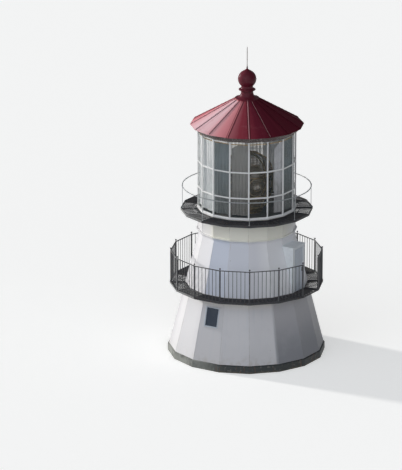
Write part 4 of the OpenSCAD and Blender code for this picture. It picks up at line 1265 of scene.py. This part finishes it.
class LIGHTHOUSE_OT_gallery_fittings(bpy.types.Operator):
    """Post feet, clips, bearing bars, rim angle, cleats and handrail fittings of the galleries"""

    bl_idname = "lighthouse.gallery_fittings"
    bl_label = "Gallery fittings"

    def execute(self, context):
        self.bolt_posts()
        self.clip_gratings()
        wall = wall_r(GALLERY_Z - GRATE_T)
        self.lay_bars("gallery_bars", wall + CLEAR, GALLERY_R - RIM_T, GALLERY_Z, 1)
        self.lay_bars("lantern_gallery_bars", NECK_R + CLEAR, DECK_R - RIM_T, DECK_Z, 0)
        self.edge_deck()
        places = corners(wall_r(BEAM_Z) + 0.001, BEAM_Z, -WALL_LEAN)
        repeat(self.cleat(height=0.062), places, "beam_cleats", "black_iron", 30)
        places = corners(NECK_R + 0.001, DECK_BEAM_Z)
        repeat(self.cleat(height=0.042), places, "lantern_beam_cleats", "black_iron", 30)
        self.clamp_handrail()
        return {"FINISHED"}

    def bolt_posts(self):
        """A flanged foot with four bolts under every railing post."""
        flange = shifted(plate(0.074, 0.092, 0.010, 0.012, (0.004, 0.003)), at(-0.003))
        bolts = spread(hex_bolt(sizes().bolt_d * 0.62, 0.010), [
            at(x, y, 0.0148) for x in (-0.030, 0.025) for y in (-0.034, 0.034)])
        places = corners(POST_R, GALLERY_Z + CLEAR)
        repeat(joined([flange, bolts]), places, "post_feet", "black_iron", 30)

    def clip_gratings(self):
        """Saddle clips that hold the grating panels to the beams."""
        clip = plate(0.034, 0.058, 0.006, 0.005, (0.008, 0.003))
        bolt = shifted(hex_bolt(sizes().bolt_d * 0.8, 0.010), at(z=0.007))
        places = [
            place for z, radii in CLIP_RADII for r in radii for place in corners(r, z + CLEAR)]
        repeat(joined([clip, bolt]), places, "grating_clips", "grating_iron", 30)

    def lay_bars(self, name, r_in, r_out, top_z, open_rows):
        """Flat bars on edge through the rows of slots, but for the open rows at the rim."""
        depth = flat_r(r_out - r_in) - 2 * PANEL_FRAME_W
        rows = int(depth / SLOT_PITCH)
        bars = []
        for row in range(rows - open_rows):
            x = flat_r(r_in) + PANEL_FRAME_W + (row + 0.5) * depth / rows
            length = 2 * (x * math.tan(HALF_ANGLE) - PANEL_FRAME_W)
            bars.append(shifted(plate(0.005, length, 0.0012, 0.016), at(x, 0, top_z - 0.018)))
        repeat(joined(bars), sides(), name, "grating_iron", 0)

    def edge_deck(self):
        """A steel angle that stiffens the rim of the upper gallery."""
        z = DECK_Z - GRATE_T - CLEAR
        r_in, r_web, r_out = DECK_R - 0.036, DECK_R - 0.012, DECK_R - 0.004
        deliver(spun_ring([
            (r_in, z), (r_in, z - 0.007), (r_web, z - 0.007), (r_web, z - 0.050),
            (r_out, z - 0.050), (r_out, z)]), "deck_edge_angle", "black_iron", 20)

    def cleat(self, height):
        """A pair of bent angles with a bolt each, on both sides of a beam."""
        pieces = []
        for side in (-1, 1):
            outline = [(0, 0.0065), (0.052, 0.0065), (0.052, 0.0125), (-0.004, 0.0165),
                       (-0.012, 0.058), (-0.018, 0.058)]
            bolt = hex_bolt(sizes().bolt_d * 0.8, 0.009)
            shifted(bolt, at(0.030, side * 0.0125, height / 2) @ turned(-side * math.pi / 2, "X"))
            pieces += [bar([(x, side * y) for x, y in outline], height), bolt]
        return joined(pieces)

    def clamp_handrail(self):
        """Tee sockets on the stanchions, sleeves between them and bolts in the feet."""
        socket = spun_ring([
            (0.0105, -0.070), (0.0155, -0.066), (0.0165, -0.024), (0.0105, -0.018)], 16)
        tee = joined([self.sleeve(0.0235, 0.072), socket])
        places = corners(HANDRAIL_R, HANDRAIL_Z)
        repeat(tee, places[::2], "handrail_tees", "handrail_paint", 40)
        sleeve = self.sleeve(0.0225, 0.094)
        repeat(sleeve, places[1::2], "handrail_sleeves", "handrail_paint", 40)
        places = [
            place @ turned(turn, "Z") @ at(0.0205)
            for place in corners(HANDRAIL_R, DECK_Z + 0.009)[::2] for turn in (0.5, 2.6, 4.7)]
        repeat(hex_bolt(0.0105, 0.007), places, "stanchion_bolts", "handrail_paint", 30)

    def sleeve(self, r, length):
        """A banded pipe sleeve along +Y."""
        half, band_r = length / 2, r + 0.003
        ring = spun_ring(mirrored([
            (0.0195, half), (r, half), (band_r, half - 0.004), (band_r, half - 0.012),
            (r, half - 0.016)]), 20)
        return shifted(ring, turned(math.pi / 2, "X"))


class LIGHTHOUSE_OT_glazing_fittings(bpy.types.Operator):
    """Putty, cover screws and sill bolts of the lantern"""

    bl_idname = "lighthouse.glazing_fittings"
    bl_label = "Glazing fittings"

    def execute(self, context):
        self.bed_panes()
        self.screw_bars()
        spots = [((i - 1.5) * 0.17, SILL_TOP_Z - 0.048) for i in range(4)]
        places = on_sides(flat_r(SILL_R) - 0.001, spots)
        repeat(hex_bolt(sizes().bolt_d * 0.8, 0.010), places, "sill_bolts", "glazing_paint", 30)
        return {"FINISHED"}

    def bed_panes(self):
        """A bead of putty where the glass meets the bars."""
        r, size, lap = GLAZING_R - 0.0200, 0.006, 0.002
        section = [(0, -lap), (0, size), (size * 0.4, size * 0.4), (size, -lap)]
        rings = [
            spun_ring([(r + out, z + way * up) for out, up in section])
            for z, way in (
                (SILL_TOP_Z, 1), (RING_LOW_Z - RING_HALF_H, -1), (RING_LOW_Z + RING_HALF_H, 1),
                (RING_HIGH_Z - RING_HALF_H, -1), (RING_HIGH_Z + RING_HALF_H, 1), (GLASS_TOP_Z, -1))]
        half = half_side(GLAZING_R) - 0.028
        uprights = [
            shifted(bar([(out, -side * in_) for out, in_ in section], GLASS_TOP_Z - SILL_TOP_Z),
                    at(flat_r(r), side * half, SILL_TOP_Z))
            for side in (1, -1)]
        uprights = spread(joined(uprights), sides())
        deliver(joined([uprights, *rings]), "glazing_putty", "glazing_paint", 0)

    def screw_bars(self):
        """Screws up the covers of the posts and along those of the rings."""
        across = half_side(GLAZING_R) - 0.015
        heights = [SILL_TOP_Z + 0.06 + i * 0.172 for i in range(18)]
        heights = [z for z in heights if min(abs(z - RING_LOW_Z), abs(z - RING_HIGH_Z)) > 0.05]
        spots = [(side * across, z) for z in heights for side in (-1, 1)]
        pitch = (across - 0.09) * 2 / 3
        spots += [((i - 1.5) * pitch, z) for z in (RING_LOW_Z, RING_HIGH_Z) for i in range(4)]
        places = on_sides(flat_r(GLAZING_R) - 0.0005, spots)
        repeat(rivet(0.014, 0.0035), places, "glazing_screws", "glazing_paint", 40)


class LIGHTHOUSE_OT_door_fittings(bpy.types.Operator):
    """Raised panels, lock, screws and threshold of the door, and rivets of its porch"""

    bl_idname = "lighthouse.door_fittings"
    bl_label = "Door fittings"

    def execute(self, context):
        self.raise_panels()
        self.fit_lock()
        self.screw_hinges()
        self.lay_threshold()
        self.rivet_porch()
        return {"FINISHED"}

    def upright(self, x, y, up):
        """Place on the door's side, up from the gallery, +X outwards."""
        return at_side(DOOR_SIDE, x, GALLERY_Z + up, y)

    def on_door(self, x, y, up):
        """Place on the door's side, up from the gallery, +Z outwards."""
        return self.upright(x, y, up) @ FACE_OUT

    def raise_panels(self):
        """A moulded and fielded panel in each of the door's sunk panels."""
        wide = DOOR_W - 2 * STILE_W - 0.002
        tall = (DOOR_H - 3 * STILE_W) / 2 - 0.002
        panel = plate(
            tall, wide, 0, 0.0014, (0.010, 0.007), (0.009, -0.004), (0.030, 0.0), (0.016, 0.005))
        places = [
            self.on_door(DOOR_X - 0.012, 0, STILE_W + tall / 2 + row * (tall + STILE_W) + 0.001)
            for row in (0, 1)]
        repeat(panel, places, "door_panels", "door_paint", 20)

    def fit_lock(self):
        """Lock plate, rose and knob cap, and a keyhole cover."""
        y = (DOOR_W - STILE_W) / 2
        rose = spun_ring([
            (0.0095, 0), (0.022, 0), (0.022, 0.003), (0.016, 0.007), (0.0095, 0.008)], 20)
        cap = spun_ring([
            (0.001, 0), (0.0225, 0), (0.0225, 0.004), (0.019, 0.010), (0.011, 0.0145),
            (0.001, 0.016)], 20)
        lock = joined([
            shifted(plate(0.170, 0.058, 0.014, 0.003, (0.003, 0.0015)),
                    self.on_door(DOOR_X, y, LOCK_UP - 0.020)),
            shifted(rose, self.on_door(DOOR_X + 0.004, y, LOCK_UP)),
            shifted(cap, self.on_door(DOOR_X + 0.054, y, LOCK_UP)),
            shifted(rivet(0.018, 0.006), self.on_door(DOOR_X + 0.004, y, LOCK_UP - 0.056))])
        deliver(lock, "door_lock", "black_iron", 30)

    def screw_hinges(self):
        """Screws along the straps and caps on the hinge pins."""
        pin_y, cap_up = -DOOR_W / 2 + 0.0093, 0.048
        heights = (STILE_W / 2, DOOR_H / 2, DOOR_H - STILE_W / 2)
        screws = spread(rivet(0.015, 0.004), [
            self.on_door(DOOR_X + 0.0055, pin_y + along, up)
            for up in heights for along in (0.045, 0.110, 0.175, 0.240)])
        caps = spread(rivet(0.022, 0.010), [
            self.upright(DOOR_X, pin_y, up + way * cap_up) @ turned(turn, "X")
            for way, turn in ((1, 0), (-1, math.pi)) for up in heights])
        deliver(joined([screws, caps]), "hinge_screws", "door_paint", 30)

    def lay_threshold(self):
        """A screwed tread plate across the foot of the porch."""
        sill = plate(0.060, 0.700, 0.008, 0.006, (0.005, 0.003))
        screws = spread(rivet(sizes().rivet_d * 0.5, 0.003), [
            at(0, y, 0.009) for y in (-0.29, -0.1, 0.1, 0.29)])
        sill = shifted(joined([sill, screws]), self.upright(PORCH_X + 0.033, 0, CLEAR))
        deliver(sill, "door_threshold", "grating_iron", 30)

    def rivet_porch(self):
        """Rivets round the porch's mouth, and a flashing where its top meets the wall."""
        x = PORCH_X - 0.0005
        places = [
            self.on_door(x, side * (DOOR_W / 2 + 0.098), 0.09 + i * 0.15)
            for side in (-1, 1) for i in range(12)]
        places += [self.on_door(x, i * 0.12, DOOR_H + 0.040) for i in range(-2, 3)]
        rivets = spread(rivet(sizes().rivet_d * 0.7, 0.006), places)
        z, length = top("door_porch"), 0.890
        flashing = bar([(-0.001, 0), (0.022, 0), (0.020, -0.004), (-0.0075, -0.026)], length)
        head = at_side(DOOR_SIDE, flat_r(wall_r(z)), z + CLEAR, -length / 2)
        shifted(flashing, head @ ALONG_SIDE)
        deliver(joined([rivets, flashing]), "porch_rivets", "porch_paint", 30)


class LIGHTHOUSE_OT_window_fittings(bpy.types.Operator):
    """Putty, screws, sill and drip cap of the window"""

    bl_idname = "lighthouse.window_fittings"
    bl_label = "Window fittings"

    def execute(self, context):
        lean = math.atan(flat_r(WALL_TAPER))
        wall = at_side(WINDOW_SIDE, flat_r(wall_r(WINDOW_Z)), WINDOW_Z) @ turned(-lean, "Y")
        putty = shifted(self.putty(0.010), wall @ at(0.005) @ FACE_OUT)
        deliver(putty, "window_putty", "window_paint", 0)
        y, z = (WINDOW_W - WINDOW_FRAME_W) / 2, (WINDOW_H - WINDOW_FRAME_W) / 2
        spots = [(side * y, z * i / 2) for side in (-1, 1) for i in range(-2, 3)]
        spots += [(y * i / 2, side * z) for side in (-1, 1) for i in (-1, 0, 1)]
        places = [wall @ at(0.0215, across, up) @ FACE_OUT for across, up in spots]
        repeat(rivet(0.014, 0.0035), places, "window_screws", "window_paint", 30)
        edges = shifted(self.sill_and_cap(WINDOW_H / 2), wall @ at(0, -SILL_L / 2, 0) @ ALONG_SIDE)
        deliver(edges, "window_sill", "white_paint", 20)
        return {"FINISHED"}

    def putty(self, size):
        """Three-cornered beads round the inside of the frame, tall along x."""
        tall, wide = WINDOW_H - 2 * WINDOW_FRAME_W, WINDOW_W - 2 * WINDOW_FRAME_W
        beads = []
        for turn in range(4):
            length, away = ((tall, wide / 2), (wide, tall / 2))[turn % 2]
            strip = bar([(0, 0), (-size, 0), (0, -size)], length)
            place = turned(turn * math.pi / 2, "Z") @ at(-length / 2, away, 0)
            beads.append(shifted(strip, place @ FACE_OUT))
        return joined(beads)

    def sill_and_cap(self, half):
        """Bars along the foot and the head of the window, at half its height each way."""
        sill = bar([(x, half + down) for x, down in (
            (0.001, 0.0005), (0.042, 0.011), (0.042, 0.024), (0.036, 0.024),
            (0.034, 0.019), (0.029, 0.019), (0.027, 0.028), (0.001, 0.030))], SILL_L)
        cap = bar([(x, -half - up) for x, up in (
            (0.001, 0.022), (0.034, 0.010), (0.034, 0.001), (0.029, 0.001),
            (0.027, 0.005), (0.001, 0.0005))], SILL_L)
        return joined([sill, cap])


class LIGHTHOUSE_OT_lens_fittings(bpy.types.Operator):
    """Round prisms and their brass rims, bands and nuts of the lens"""

    bl_idname = "lighthouse.lens_fittings"
    bl_label = "Lens fittings"

    def execute(self, context):
        panels = [
            turned(2 * math.pi * (i + 0.5) / LENS_RIBS, "Z") @ at(z=(BELT_LOW_Z + BELT_HIGH_Z) / 2)
            for i in range(LENS_RIBS)]
        prisms = self.wrapped([
            spun_ring([(r, -0.022), (r + 0.028, -0.022), (r + 0.028, 0.0), (r, 0.011)], 40)
            for r in (0.158, 0.190, 0.222, 0.254, 0.286, 0.318)])
        repeat(prisms, panels, "lens_round_prisms", "lens_glass", 20)
        rims = self.wrapped([
            spun_ring([(r, -0.022), (r + wide, -0.022), (r + wide, 0.012), (r + wide / 2, 0.015),
                       (r, 0.012)], 40)
            for r, wide in ((0.349, 0.018), (0.149, 0.008))])
        repeat(rims, panels, "lens_rims", "lens_brass", 30)
        self.band_lens()
        places = [
            turned(2 * math.pi * i / LENS_RIBS, "Z")
            @ at(LENS_RIB_FACE_R, 0, BELT_LOW_Z + up) @ FACE_OUT
            for i in range(LENS_RIBS) for up in (0.045, 0.38, 0.715)]
        repeat(hex_bolt(sizes().bolt_d * 0.9, 0.012), places, "lens_nuts", "lens_brass", 30)
        return {"FINISHED"}

    def wrapped(self, rings):
        """Joins flat rings and curves them on to the belt of the lens."""
        piece = shifted(joined(rings), FACE_OUT)
        for vertex in piece.data.vertices:
            out, along, up = vertex.co
            turn = along / LENS_R
            vertex.co = ((LENS_R + out) * math.cos(turn), (LENS_R + out) * math.sin(turn), up)
        return piece

    def band_lens(self):
        """Bands with rounded edges at the lens's foot and at both edges of its belt."""
        belt_r = LENS_R + 0.001
        bands = [
            spun_ring(mirrored([(r, 0.011), (r + 0.020, 0.011), (r + 0.024, 0.006)], z), 64)
            for r, z in (LENS_FOOT_BAND, (belt_r, BELT_LOW_Z), (belt_r, BELT_HIGH_Z))]
        deliver(joined(bands), "lens_bands", "lens_brass", 40)


class LIGHTHOUSE_OT_curtain_rings(bpy.types.Operator):
    """Rings that carry the curtains, and the brackets of their rail"""

    bl_idname = "lighthouse.curtain_rings"
    bl_label = "Curtain rings"

    def execute(self, context):
        places = []
        for start, end in DROPS:
            folds = fold_count(start, end)
            for i in range(folds):
                count = start + (end - start) * (i + 0.5) / folds
                k = math.floor(count)
                across = (count - k - 0.5) * 2 * half_side(RAIL_R)
                places.append(at_side(k, flat_r(RAIL_R), RAIL_Z, across))
        ring = shifted(spun_ring(bead(0.0195, 0.0, 0.0022, 6), 14), ALONG_SIDE)
        repeat(ring, places, "curtain_rings", "lens_brass", 40)
        bracket = plate(0.020, 0.018, 0.003, 0.018, (0.002, 0.001))
        places = corners(RAIL_R + 0.0145, RAIL_Z - 0.009)
        repeat(bracket, places, "rail_brackets", "lens_brass", 30)
        return {"FINISHED"}


class LIGHTHOUSE_PT_panel(bpy.types.Panel):
    """Lists the steps that dress the lighthouse"""

    bl_idname = "LIGHTHOUSE_PT_panel"
    bl_label = "Lighthouse"
    bl_space_type = "VIEW_3D"
    bl_region_type = "UI"
    bl_category = "Lighthouse"

    def draw(self, context):
        for operator in STEPS:
            self.layout.operator(operator.bl_idname)
        for group in SETTINGS:
            box = self.layout.box()
            settings = getattr(context.scene, group)
            for name in settings.__annotations__:
                box.prop(settings, name)


STEPS = (
    LIGHTHOUSE_OT_studio,
    LIGHTHOUSE_OT_finishes,
    LIGHTHOUSE_OT_curtains,
    LIGHTHOUSE_OT_roof_fittings,
    LIGHTHOUSE_OT_wall_fittings,
    LIGHTHOUSE_OT_gallery_fittings,
    LIGHTHOUSE_OT_glazing_fittings,
    LIGHTHOUSE_OT_door_fittings,
    LIGHTHOUSE_OT_window_fittings,
    LIGHTHOUSE_OT_lens_fittings,
    LIGHTHOUSE_OT_curtain_rings,
)
SETTINGS = {
    "lighthouse_fittings": LighthouseFittings,
    "lighthouse_colours": LighthouseColours,
    "lighthouse_studio": LighthouseStudio,
}
CLASSES = (*SETTINGS.values(), *STEPS, LIGHTHOUSE_PT_panel)


def register():
    for cls in CLASSES:
        bpy.utils.register_class(cls)
    for name, group in SETTINGS.items():
        setattr(bpy.types.Scene, name, PointerProperty(type=group))


def unregister():
    for name in SETTINGS:
        delattr(bpy.types.Scene, name)
    for cls in reversed(CLASSES):
        bpy.utils.unregister_class(cls)


def main():
    register()
    bpy.ops.lighthouse.studio()
    bpy.ops.lighthouse.finishes()
    bpy.ops.lighthouse.curtains()
    bpy.ops.lighthouse.roof_fittings()
    bpy.ops.lighthouse.wall_fittings()
    bpy.ops.lighthouse.gallery_fittings()
    bpy.ops.lighthouse.glazing_fittings()
    bpy.ops.lighthouse.door_fittings()
    bpy.ops.lighthouse.window_fittings()
    bpy.ops.lighthouse.lens_fittings()
    bpy.ops.lighthouse.curtain_rings()
    clear_selection()


if __name__ == "__main__":
    main()
